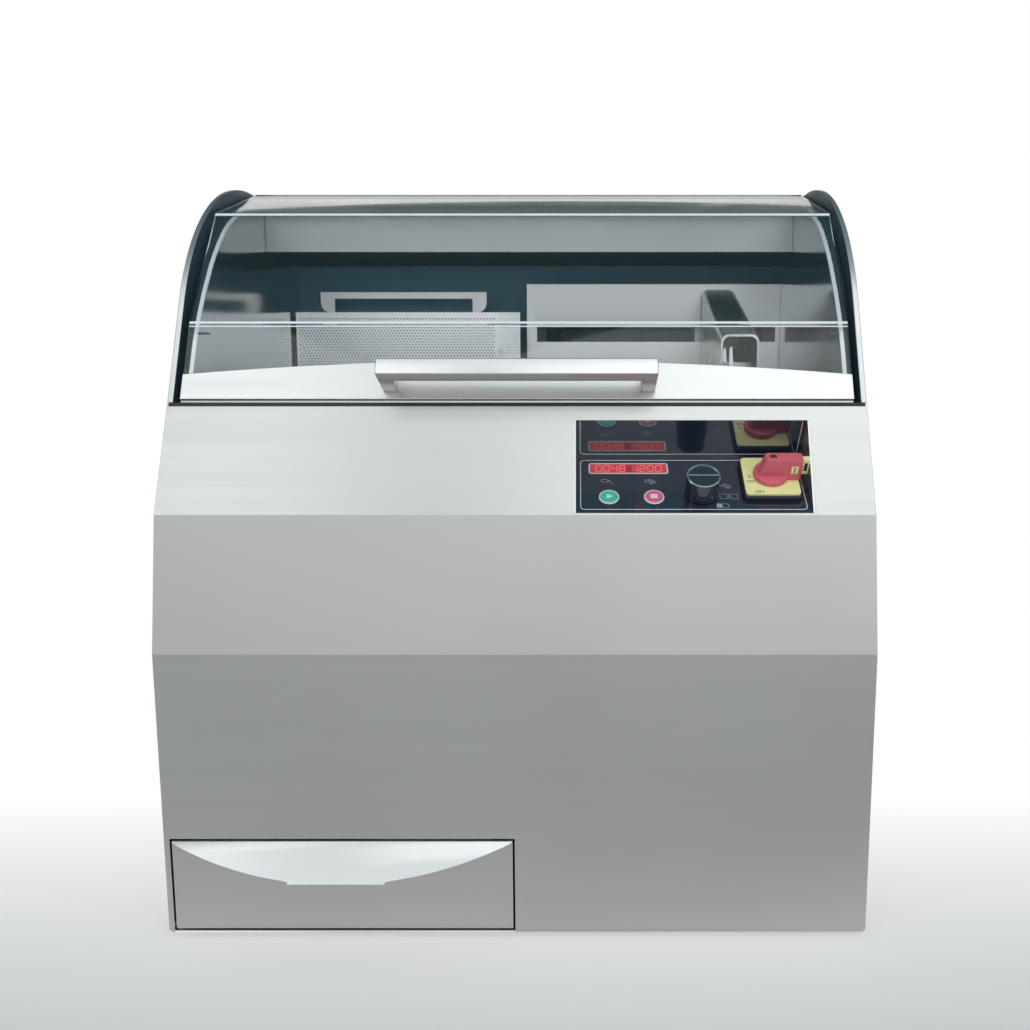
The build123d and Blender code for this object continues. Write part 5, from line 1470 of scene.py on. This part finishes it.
@dataclass
class Display:
    """Red window with two groups of lit digits inside a light frame."""

    face: Matrix
    low: Pair = (13.4, 58.4)
    high: Pair = (97.2, 75.2)
    window_low: Pair = (13.0, 58.0)
    window_high: Pair = (101.0, 79.0)
    window_corner: float = 0.5
    window_sheet: Pair = (-2.0, 0.02)
    rim: float = 1.4
    rim_corners: Pair = (3.0, 1.6)
    rim_height: float = 0.35
    glass_height: float = 0.2
    readings: tuple[str, str] = ("0048", "1200")
    group: float = 33.0
    digit_inset: Pair = (1.2, 2.2)
    digit_width: float = 5.6
    digit_lean: float = 0.12
    digit_height: float = 0.32
    bar_width: float = 1.1
    bar_gap: float = 0.35
    gap_half: float = 3.6
    gap_inset: float = 1.5
    gap_corner: float = 0.8
    gap_height: float = 0.25

    def build(self) -> None:
        """Makes the window, its frame and its digits."""
        left, bottom = (edge + self.rim for edge in self.low)
        right, top = (edge - self.rim for edge in self.high)
        outer_corner, inner_corner = self.rim_corners
        inner = rounded_box((left, bottom), (right, top), inner_corner)
        window = rounded_box(self.window_low, self.window_high, self.window_corner)
        shape = Shape(self.face)
        shape.plate(window, *self.window_sheet, GLOSS_BLACK)
        shape.ring(rounded_box(self.low, self.high, outer_corner), inner, 0.0, self.rim_height, RING_GREY)
        shape.plate(inner, 0.0, self.glass_height, DISPLAY_GLASS)
        across, up = self.digit_inset
        size = (self.digit_width, top - bottom - 2 * up)
        gap = (right - left - len(self.readings) * self.group) / (len(self.readings) + 1)
        for index, reading in enumerate(self.readings):
            start = left + gap + index * (self.group + gap)
            for place, figure in enumerate(reading):
                corner = (start + place * self.group / len(reading) + across, bottom + up)
                self.digit(shape, figure, corner, size)
        middle = ((left + right) / 2, (bottom + top) / 2)
        between = centred_box(middle, self.gap_half, (top - bottom) / 2 - self.gap_inset, self.gap_corner)
        shape.plate(between, self.glass_height, self.gap_height, DISPLAY_DARK)
        shape.piece("display_lit", "cabinet", Slot.DISPLAY, ("display_window",))

    def digit(self, shape: Shape, figure: str, low: Pair, size: Pair) -> None:
        """One lit digit that leans a little to the right.

        Args:
            shape: The piece that it joins.
            figure: The figure to show.
            low: Its lower left corner.
            size: Its width and height.
        """
        wide, high = size
        for bar in LIT_BARS[figure]:
            start, end = (Vector((low[0] + (x + self.digit_lean * y) * wide, low[1] + y * high))
                          for x, y in bar.value)
            along = (end - start).normalized() * self.bar_gap
            shape.line([tuple(start + along), tuple(end - along)], self.bar_width, self.glass_height,
                       self.digit_height, LED_RED)


@dataclass
class PushButtons:
    """Start and stop caps in light rings; the crown is given from the cap's upper rim."""

    face: Matrix
    start: Pair = (34.0, 23.0)
    stop: Pair = (80.0, 23.0)
    radius: float = 8.5
    height: float = 1.6
    stem_radius: float = 3.0
    stem_end: float = -13.4
    skirt: float = -4.0
    crown: tuple[Pair, ...] = ((0.0, -0.7), (-0.5, -0.15), (-1.3, 0.0), (-2.4, -0.25))
    start_mark: tuple[Pair, ...] = ((-2.4, -3.4), (3.8, 0.0), (-2.4, 3.4))
    stop_mark: Pair = (3.6, 3.0)
    mark_corner: float = 0.5
    mark_sheet: Pair = (-0.6, -0.1)
    ring: tuple[Pair, ...] = ((8.8, 0.0), (10.5, 0.0), (10.5, 0.5), (9.7, 1.0), (9.3, 1.0), (8.8, 0.85))
    ring_steps: int = 48

    def build(self) -> None:
        """Makes both caps and their rings."""
        triangle = moved(self.start_mark, *self.start)
        square = centred_box(self.stop, *self.stop_mark, self.mark_corner)
        self.cap("start_button", self.start, triangle, START_GREEN, Slot.START)
        self.cap("stop_button", self.stop, square, STOP_RED, Slot.STOP)
        shape = Shape(self.face)
        for middle in (self.start, self.stop):
            sections = [(circle(radius, self.ring_steps, middle), z) for radius, z in self.ring]
            shape.loft(sections, RING_GREY, loop=True)
        shape.piece("button_rings", "cabinet", Slot.BRIGHT, ("button_bezels",))

    def cap(self, name: str, middle: Pair, mark: Outline, finish: Finish, slot: Slot) -> None:
        """One cap on its stem, with a white mark.

        Args:
            name: The button's node and body.
            middle: The cap's middle.
            mark: Outline of the mark.
            finish: The cap's finish.
            slot: The record's slot.
        """
        profile = [(self.stem_radius, self.stem_end), (self.stem_radius, self.skirt),
                   (self.radius, self.skirt), *moved(self.crown, self.radius, self.height)]
        low, high = self.mark_sheet
        shape = Shape(self.face)
        shape.turned(profile, finish, middle)
        shape.plate(mark, self.height + low, self.height + high, WHITE_PRINT)
        shape.piece(f"{name}_cap", name, slot, (name,))


@dataclass
class TurnKnob:
    """Gloss knob with a bright rim and a ridge; crown and rim are given from the knob's upper edge."""

    face: Matrix
    middle: Pair = (129.0, 29.0)
    radius: float = 17.5
    top: float = 25.0
    steps: int = 64
    shaft_radius: float = 3.0
    shaft_end: float = -17.0
    skirt: Pair = (1.0, 1.8)
    crown: tuple[Pair, ...] = ((-0.5, -2.0), (-1.2, -1.2), (-2.4, -1.2))
    rim: tuple[Pair, ...] = ((-0.9, -2.0), (-0.4, -1.2), (-0.9, -0.3), (-1.9, -0.4), (-2.2, -1.2))
    ridge_insets: Pair = (2.2, 2.4)
    ridge_halves: Pair = (1.5, 0.5)
    ridge_corners: Pair = (1.2, 0.4)
    ridge_heights: Pair = (-1.3, 0.0)
    # Pale line along the ridge's top: painted highlight.
    line_inset: float = 2.6
    line_half: float = 0.35
    line_corner: float = 0.3
    line_proud: float = 0.05

    def build(self) -> None:
        """Makes the knob."""
        low, high = self.skirt
        profile = [(self.shaft_radius, self.shaft_end), (self.shaft_radius, low), (self.radius, low),
                   (self.radius, high), *moved(self.crown, self.radius, self.top)]
        shape = Shape(self.face)
        shape.turned(profile, GLOSS_BLACK, self.middle, self.steps)
        rim = moved(self.rim, self.radius, self.top)
        shape.loft([(circle(radius, self.steps, self.middle), z) for radius, z in rim], POLISHED_STEEL,
                   loop=True)
        ridge = zip(self.ridge_insets, self.ridge_halves, self.ridge_corners, self.ridge_heights)
        shape.loft([(centred_box(self.middle, self.radius - inset, half, corner), self.top + height)
                    for inset, half, corner, height in ridge], SATIN_BLACK)
        # The pale line along the ridge is a painted highlight.
        line = centred_box(self.middle, self.radius - self.line_inset, self.line_half, self.line_corner)
        shape.plate(line, self.top - self.line_proud, self.top + self.line_proud, RING_GREY)
        shape.piece("thickness_knob_turned", "thickness_knob", Slot.PLASTIC, ("thickness_knob",))


@dataclass(frozen=True)
class GripLevel:
    """One level of the isolator's grip: insets from its ends and sides, corners and height over the plate."""

    back: float
    front: float
    side: float
    corner: float
    height: float


@dataclass(frozen=True)
class Inlay:
    """A small block in the isolator's handle: corners from the hub's axis, and heights over the plate."""

    low: Pair
    high: Pair
    heights: Pair
    corner: float
    finish: Finish
    edge: float = 0.0


@dataclass
class Isolator:
    """Isolator switch: black base, yellow plate with lettering, red handle with a yellow padlock slide."""

    face: Matrix
    middle: Pair = (201.0, 47.0)
    body_half: float = 21.0
    body_corner: float = 2.0
    body_depth: float = 46.0
    base_half: float = 30.0
    base_corners: Pair = (6.0, 5.0)
    base_wall: float = 4.5
    base_bevel: float = 1.4
    base_height: float = 6.0
    plate_half: float = 28.0
    plate_corner: float = 4.0
    plate_sheet: float = 2.0
    plate_sunk: float = 0.5
    plate_edge: float = 0.5
    print_sheet: Pair = (-0.05, 0.1)
    letters: tuple[tuple[str, float, Pair], ...] = (
        ("0", 6.0, (-22.0, -2.0)), ("OFF", 5.0, (-21.5, -9.0)), ("ON", 5.5, (-14.0, -24.6)))
    handle_gap: float = 0.3
    stem_radius: float = 6.0
    stem_end: float = -21.7
    hub_radius: float = 18.0
    hub_height: float = 6.0
    hub_foot: tuple[Pair, ...] = ((-0.6, 0.0), (0.0, 0.8))
    hub_crown: tuple[Pair, ...] = ((0.0, -2.0), (-0.6, -0.7), (-2.0, 0.0))
    hub_steps: int = 64
    grip_ends: Pair = (-15.0, 30.5)
    grip_half: float = 7.5
    grip: tuple[GripLevel, ...] = (
        GripLevel(0.0, 0.0, 0.0, 3.5, 0.5), GripLevel(1.5, 0.0, 0.0, 3.5, 8.0),
        GripLevel(6.5, 0.5, 1.0, 3.0, 24.4), GripLevel(7.4, 1.2, 1.6, 2.4, 25.6),
        GripLevel(8.6, 2.2, 2.6, 1.6, 26.0))
    slide: Inlay = Inlay((26.5, -3.2), (37.2, 3.2), (5.0, 23.5), 0.8, SWITCH_YELLOW, edge=0.5)
    # Black strip on the slide's side where its slot is: painted shade.
    slide_slot: Inlay = Inlay((32.1, -3.4), (35.4, -3.0), (9.0, 19.5), 0.1, BLACK_PRINT)
    side_window: Inlay = Inlay((18.5, -7.6), (25.5, -4.5), (9.0, 18.0), 0.1, SWITCH_YELLOW)
    side_bar: Inlay = Inlay((21.3, -7.7), (22.5, -4.5), (9.4, 17.6), 0.1, BLACK_PRINT)
    top_mark: Inlay = Inlay((-4.0, -2.4), (3.0, 2.4), (25.7, 26.05), 1.0, BLACK_PRINT)

    def build(self) -> None:
        """Makes every piece of the isolator."""
        self.base()
        self.plate()
        self.handle()

    def base(self) -> None:
        """Black body behind the face, and the base in front of it."""
        lower_corner, upper_corner = self.base_corners
        body = centred_box(self.middle, self.body_half, self.body_half, self.body_corner)
        wall = centred_box(self.middle, self.base_half, self.base_half, lower_corner)
        half = self.base_half - self.base_bevel
        top = centred_box(self.middle, half, half, upper_corner)
        shape = Shape(self.face)
        shape.plate(body, -self.body_depth, 0.0, SATIN_BLACK)
        shape.loft([(wall, 0.0), (wall, self.base_wall), (top, self.base_height)], SATIN_BLACK)
        shape.piece("isolator_base_moulded", "cabinet", Slot.PLASTIC, ("isolator_base",))

    def plate(self) -> None:
        """Yellow plate with its lettering."""
        top = self.base_height + self.plate_sheet
        outline = centred_box(self.middle, self.plate_half, self.plate_half, self.plate_corner)
        shape = Shape(self.face)
        shape.plate(outline, self.base_height - self.plate_sunk, top, SWITCH_YELLOW, soft=self.plate_edge)
        x, y = self.middle
        low, high = self.print_sheet
        for text, size, (across, up) in self.letters:
            shape.words(text, size, (x + across, y + up), top + low, top + high, BLACK_PRINT)
        shape.piece("isolator_plate_printed", "cabinet", Slot.YELLOW, ("isolator_plate",))

    def handle(self) -> None:
        """Red handle with a round hub, a leaning grip and a yellow padlock slide."""
        x, y = self.middle
        low = self.base_height + self.plate_sheet + self.handle_gap
        profile = [(self.stem_radius, self.stem_end), (self.stem_radius, low),
                   *moved(self.hub_foot, self.hub_radius, low),
                   *moved(self.hub_crown, self.hub_radius, low + self.hub_height)]
        shape = Shape(self.face)
        shape.turned(profile, SWITCH_RED, self.middle, self.hub_steps)
        back, front = x + self.grip_ends[0], x + self.grip_ends[1]
        sections = []
        for level in self.grip:
            half = self.grip_half - level.side
            outline = rounded_box((back + level.back, y - half), (front - level.front, y + half),
                                  level.corner)
            sections.append((outline, low + level.height))
        shape.loft(sections, SWITCH_RED)
        for inlay in (self.slide, self.slide_slot, self.side_window, self.side_bar, self.top_mark):
            outline = moved(rounded_box(inlay.low, inlay.high, inlay.corner), x, y)
            bottom, top = inlay.heights
            shape.plate(outline, low + bottom, low + top, inlay.finish, soft=inlay.edge)
        shape.piece("isolator_handle_moulded", "isolator_handle", Slot.RED, ("isolator_handle",))


class Picture(Enum):
    """Small line pictures beside the controls, as strokes about their middle."""

    LOAF = (
        ((-6, 0.5), (-4.5, 2.6), (-1, 3.0), (2, 1.4), (3, -0.4), (0, -1.2), (-4, -1.0), (-6, 0.5)),
        ((-1.5, -1.5), (3.5, 1.0), (5.0, -1.5), (6.5, -4.0)))
    SLICES = (
        ((-6, 0), (-1, 3.5), (1, 2.5), (-3.5, -1.5), (-6, 0)),
        ((-3, -1.6), (2, 2.2), (4, 1.2), (-0.5, -3)),
        ((0, -3.2), (4.6, 0.6), (6.4, -0.8), (2.6, -3.6), (0, -3.2)))
    HALVES = (
        ((-9, -3.5), (-9, 3.5), (-2, 3.5), (-2, -3.5), (-9, -3.5)),
        ((2, -3.5), (2, 3.5), (9, 3.5), (9, -3.5), (2, -3.5)),
        ((0, -3.2), (0, 3.2)))
    HEEL = (
        ((-0.5, -3.0), (5, -3.0), (6.5, 0.0), (4.0, 3.0), (-0.5, 3.0), (-0.5, -3.0)),)


@dataclass
class ControlPocket:
    """Two-faced recess with display, buttons, knob and isolator, whose places are on its lower face."""

    left: float = 61.0
    width: float = 239.0
    low_edge: Pair = (23.8578, 436.0259)
    corner: Pair = (92.2738, 486.4665)
    high_edge: Pair = (62.3826, 527.0099)
    fascia_edge: float = 0.15
    mirror_tilt: Pair = (-0.5, -0.3)
    line_inset: float = 4.5
    line_width: float = 0.8
    line_corner: float = 4.5
    line_end: float = 2.0
    picture_line: float = 0.55
    picture_places: tuple[tuple[Picture, Pair], ...] = (
        (Picture.LOAF, (32.0, 47.0)), (Picture.SLICES, (77.0, 47.0)), (Picture.SLICES, (155.0, 40.0)),
        (Picture.HALVES, (156.5, 24.0)), (Picture.HEEL, (149.0, 10.5)))
    loaf_block: tuple[Pair, ...] = ((142.5, 7.5), (148.0, 7.5), (148.0, 13.5), (143.0, 13.5))
    print_height: float = 0.12

    def build(self) -> None:
        """Makes every piece of the pocket."""
        forwards, down = self.mirror_tilt
        softened("control_fascia", self.fascia_edge, GLOSS_BLACK, other=MIRROR_BLACK,
                 picks=lambda centre, normal: normal.z < down and normal.y < forwards)
        paint(BOARD_GREEN, "control_board")
        self.fascia_lines()
        self.pictures()
        for control in (Display, PushButtons, TurnKnob, Isolator):
            control(self.lower_face()).build()

    def lower_face(self) -> Matrix:
        """Local frame of the lower face."""
        up = (bench(0, *self.corner) - bench(0, *self.low_edge)).normalized()
        return facing(bench(self.left, *self.low_edge), RIGHT, up)

    def upper_face(self) -> Matrix:
        """Local frame of the upper face, from the inner corner."""
        up = (bench(0, *self.high_edge) - bench(0, *self.corner)).normalized()
        return facing(bench(self.left, *self.corner), RIGHT, up)

    def fascia_lines(self) -> None:
        """White line round the lower face, and one round three sides of the upper face."""
        inset, width, corner = self.line_inset, self.line_width, self.line_corner
        inner, right = inset + width, self.width - inset
        long = math.dist(self.low_edge, self.corner)
        shape = Shape(self.lower_face())
        shape.ring(rounded_box((inset, inset), (right, long - inset), corner),
                   rounded_box((inner, inner), (self.width - inner, long - inner), corner - width),
                   0.0, self.print_height, WHITE_PRINT)
        long = math.dist(self.corner, self.high_edge)
        box = rounded_box((inset, inset), (right, long + 2 * corner), corner)
        bottom = sorted((point for point in box if point[1] < long / 2), key=lambda point: point[0])
        end = long - self.line_end
        shape.place = self.upper_face()
        shape.line([(inset, end), *bottom, (right, end)], width, 0.0, self.print_height, WHITE_PRINT)
        shape.piece("fascia_lines", "cabinet", Slot.GLOSS)

    def pictures(self) -> None:
        """Small line pictures of loaves and slices beside the controls."""
        shape = Shape(self.lower_face())
        for picture, middle in self.picture_places:
            for stroke in picture.value:
                shape.line(moved(stroke, *middle), self.picture_line, 0.0, self.print_height, GREY_PRINT)
        shape.plate(list(self.loaf_block), 0.0, self.print_height, GREY_PRINT)
        shape.piece("fascia_pictures", "cabinet", Slot.GLOSS)


@dataclass
class Drive:
    """Blade, orbiting arm, belts and motors inside the casing."""

    def build(self) -> None:
        """Dresses the working parts."""
        paint(POLISHED_STEEL, "blade_disc", "blade_spindle", "orbit_shaft", "guide_rods")
        paint(CAST_ALLOY, "blade_arm", "bearing_housing", "motor_pulley")
        paint(MOTOR_PAINT, "drive_motor", "feed_motor", "rod_blocks", "feed_drive_pulley",
              "feed_idler_pulley")
        paint(BELT_RUBBER, "drive_belt", "feed_belt", "planet_belt")
        paint(CASING_STEEL, "inner_frame_plate")


@dataclass
class Studio:
    """Pale floor that bends up into a cove, soft lamps, sky and camera, in metres."""

    floor_tone: Colour = (0.86, 0.81, 0.78)
    wall_tone: Colour = (0.80, 0.80, 0.79)
    page_tone: Colour = (1.0, 1.0, 1.0)
    page_depths: Pair = (-0.55, 0.05)
    page_rise: float = 0.4
    floor_radius: float = 4.8
    bend: float = 1.2
    bend_steps: int = 16
    wall: float = 3.8
    cove_turn: float = 125.0
    cove_steps: int = 72
    sky_low: float = 1.0
    sky_base: Colour = (0.96, 0.995, 1.0)
    sky_lean: float = 0.3
    sky_behind: float = 0.2
    sky_behind_end: float = 0.8
    sky_tint: Colour = (0.55, 0.90, 1.0)
    sky_high: float = 0.38
    sky_turn: Pair = (0.25, 0.80)
    key_spans: tuple[Pair, ...] = ((-2.4, -0.62), (-0.36, 2.0))
    key_depth: float = -2.2
    key_height: float = 2.25
    key_rise: float = 1.4
    key_power: float = 5.2
    top_place: Triple = (0.0, -1.55, 2.75)
    top_size: Pair = (4.2, 0.55)
    top_power: float = 10.0
    lit_place: Triple = (0.0, 0.0, 0.45)
    camera_place: Triple = (0.062, -1.2076, 0.5757)
    camera_tilt: float = 7.94
    lens: float = 33.2
    sensor: float = 36.0
    shift: float = -0.060

    def build(self) -> None:
        """Makes the whole setting."""
        self.floor()
        self.lamps()
        self.world()
        self.camera()

    def floor(self) -> None:
        """Puts the floor and its cove into the scene."""
        mesh = self.floor_mesh()
        mesh.materials.append(self.floor_material())
        floor = bpy.data.objects.new("floor", mesh)
        bpy.context.scene.collection.objects.link(floor)

    def floor_mesh(self) -> bpy.types.Mesh:
        """Round floor that bends up into a cove behind and at the sides, open at the front.

        Returns:
            The floor's mesh.
        """
        arc = []
        for step in range(self.bend_steps + 1):
            turn = math.pi / 2 * step / self.bend_steps
            arc.append((self.floor_radius + self.bend * math.sin(turn), self.bend * (1 - math.cos(turn))))
        arc.append((self.floor_radius + self.bend, self.wall))
        shape = bmesh.new()
        rows = []
        for step in range(self.cove_steps):
            turn = 2 * math.pi * step / self.cove_steps
            closed = math.cos(turn) > math.cos(math.radians(self.cove_turn))
            rows.append([shape.verts.new((r * math.sin(turn), r * math.cos(turn), z))
                         for r, z in (arc if closed else arc[:1])])
        shape.faces.new([row[0] for row in reversed(rows)])
        for row, after in zip(rows, rows[1:] + rows[:1]):
            for index in range(min(len(row), len(after)) - 1):
                face = shape.faces.new((row[index], row[index + 1], after[index + 1], after[index]))
                face.smooth = True
        return finished(shape, "floor")

    def floor_material(self) -> bpy.types.Material:
        """Matt pale floor that camera and reflections see as white behind the slicer and up the cove.

        Returns:
            The new material.
        """
        material, desk = blank_material("pale_floor")
        rays = desk.add("ShaderNodeLightPath").outputs
        first = desk.calculate("MAXIMUM", rays["Is Camera Ray"], rays["Is Glossy Ray"])
        seen = desk.calculate("MAXIMUM", first, rays["Is Transmission Ray"])
        place = desk.add("ShaderNodeSeparateXYZ", {0: desk.add("ShaderNodeTexCoord").outputs["Object"]})
        near, far = self.page_depths
        depth = desk.add("ShaderNodeMapRange", {
            "Value": place.outputs["Y"], "From Min": near, "From Max": far})
        rise = desk.add("ShaderNodeMapRange", {
            "Value": place.outputs["Z"], "From Min": 0.0, "From Max": self.page_rise})
        white = desk.calculate("MAXIMUM", depth.outputs[0], rise.outputs[0])
        share = desk.calculate("MULTIPLY", seen, white)
        tone = desk.mix_colours(rise.outputs[0], (*self.floor_tone, 1.0), (*self.wall_tone, 1.0))
        matt = desk.add("ShaderNodeBsdfDiffuse", {"Color": tone})
        page = desk.add("ShaderNodeEmission", {"Color": (*self.page_tone, 1.0), "Strength": 1.0})
        mixed = desk.add("ShaderNodeMixShader", {0: share, 1: matt.outputs[0], 2: page.outputs[0]})
        desk.add("ShaderNodeOutputMaterial", {"Surface": mixed.outputs[0]})
        return material

    def lamp(self, name: str, place: Triple, size: Pair, power: float) -> None:
        """One soft lamp that looks at the slicer's middle.

        Args:
            name: The lamp's name.
            place: Where it hangs.
            size: Its width and height.
            power: Its power in watts.
        """
        data = bpy.data.lights.new(name, "AREA")
        data.shape = "RECTANGLE"
        data.size, data.size_y = size
        data.energy = power
        lamp = bpy.data.objects.new(name, data)
        lamp.location = place
        look = Vector(self.lit_place) - Vector(place)
        lamp.rotation_euler = look.to_track_quat("-Z", "Y").to_euler()
        bpy.context.scene.collection.objects.link(lamp)

    def lamps(self) -> None:
        """Two key lamps side by side high in front, and one overhead."""
        for index, (left, right) in enumerate(self.key_spans):
            self.lamp(f"key_lamp_{index}", ((left + right) / 2, self.key_depth, self.key_height),
                      (right - left, self.key_rise), self.key_power * (right - left))
        self.lamp("top_lamp", self.top_place, self.top_size, self.top_power)

    def world(self) -> None:
        """Grey sky that darkens overhead and behind, and is a little lighter to the right."""
        world = bpy.data.worlds.new("sky")
        world.use_nodes = True
        desk = Desk(world.node_tree)
        way = desk.add("ShaderNodeSeparateXYZ", {0: desk.add("ShaderNodeTexCoord").outputs["Generated"]})
        low, high = self.sky_turn
        level = desk.add("ShaderNodeMapRange", {
            "Value": way.outputs["Z"], "From Min": low, "From Max": high,
            "To Min": self.sky_low, "To Max": self.sky_high}, interpolation_type="SMOOTHSTEP")
        share = desk.add("ShaderNodeMapRange", {"Value": way.outputs["Z"], "From Min": low, "From Max": high})
        tint = desk.mix_colours(share.outputs[0], (*self.sky_base, 1.0), (*self.sky_tint, 1.0))
        lean = desk.calculate("MULTIPLY_ADD", way.outputs["X"], self.sky_lean, 1.0)
        behind = desk.add("ShaderNodeMapRange", {
            "Value": way.outputs["Y"], "From Min": 0.0, "From Max": self.sky_behind_end,
            "To Min": 1.0, "To Max": self.sky_behind})
        spread = desk.calculate("MULTIPLY", lean, behind.outputs[0])
        light = desk.calculate("MULTIPLY", level.outputs[0], spread)
        sky = desk.add("ShaderNodeBackground", {"Color": tint, "Strength": light})
        desk.add("ShaderNodeOutputWorld", {"Surface": sky.outputs[0]})
        bpy.context.scene.world = world

    def camera(self) -> None:
        """Camera in front, a little above the middle."""
        data = bpy.data.cameras.new("camera")
        data.lens = self.lens
        data.sensor_width = self.sensor
        data.shift_x = self.shift
        camera = bpy.data.objects.new("camera", data)
        camera.location = self.camera_place
        camera.rotation_euler = (math.radians(90 - self.camera_tilt), 0.0, 0.0)
        bpy.context.scene.collection.objects.link(camera)
        bpy.context.scene.camera = camera


def main() -> None:
    """Builds the slicer and its setting."""
    logging.basicConfig(level=logging.INFO, format="%(message)s")
    parts = (Casing(SpreadTree()), Chamber(), Hood(), CrumbDrawer(), Guard(PiercedTree()), Gripper(),
             ControlPocket(), Drive(), Studio())
    for part in parts:
        LOG.info("building %s", type(part).__name__)
        part.build()
    bpy.context.scene.view_settings.view_transform = "Standard"
    bpy.context.view_layer.update()


if __name__ == "__main__":
    main()
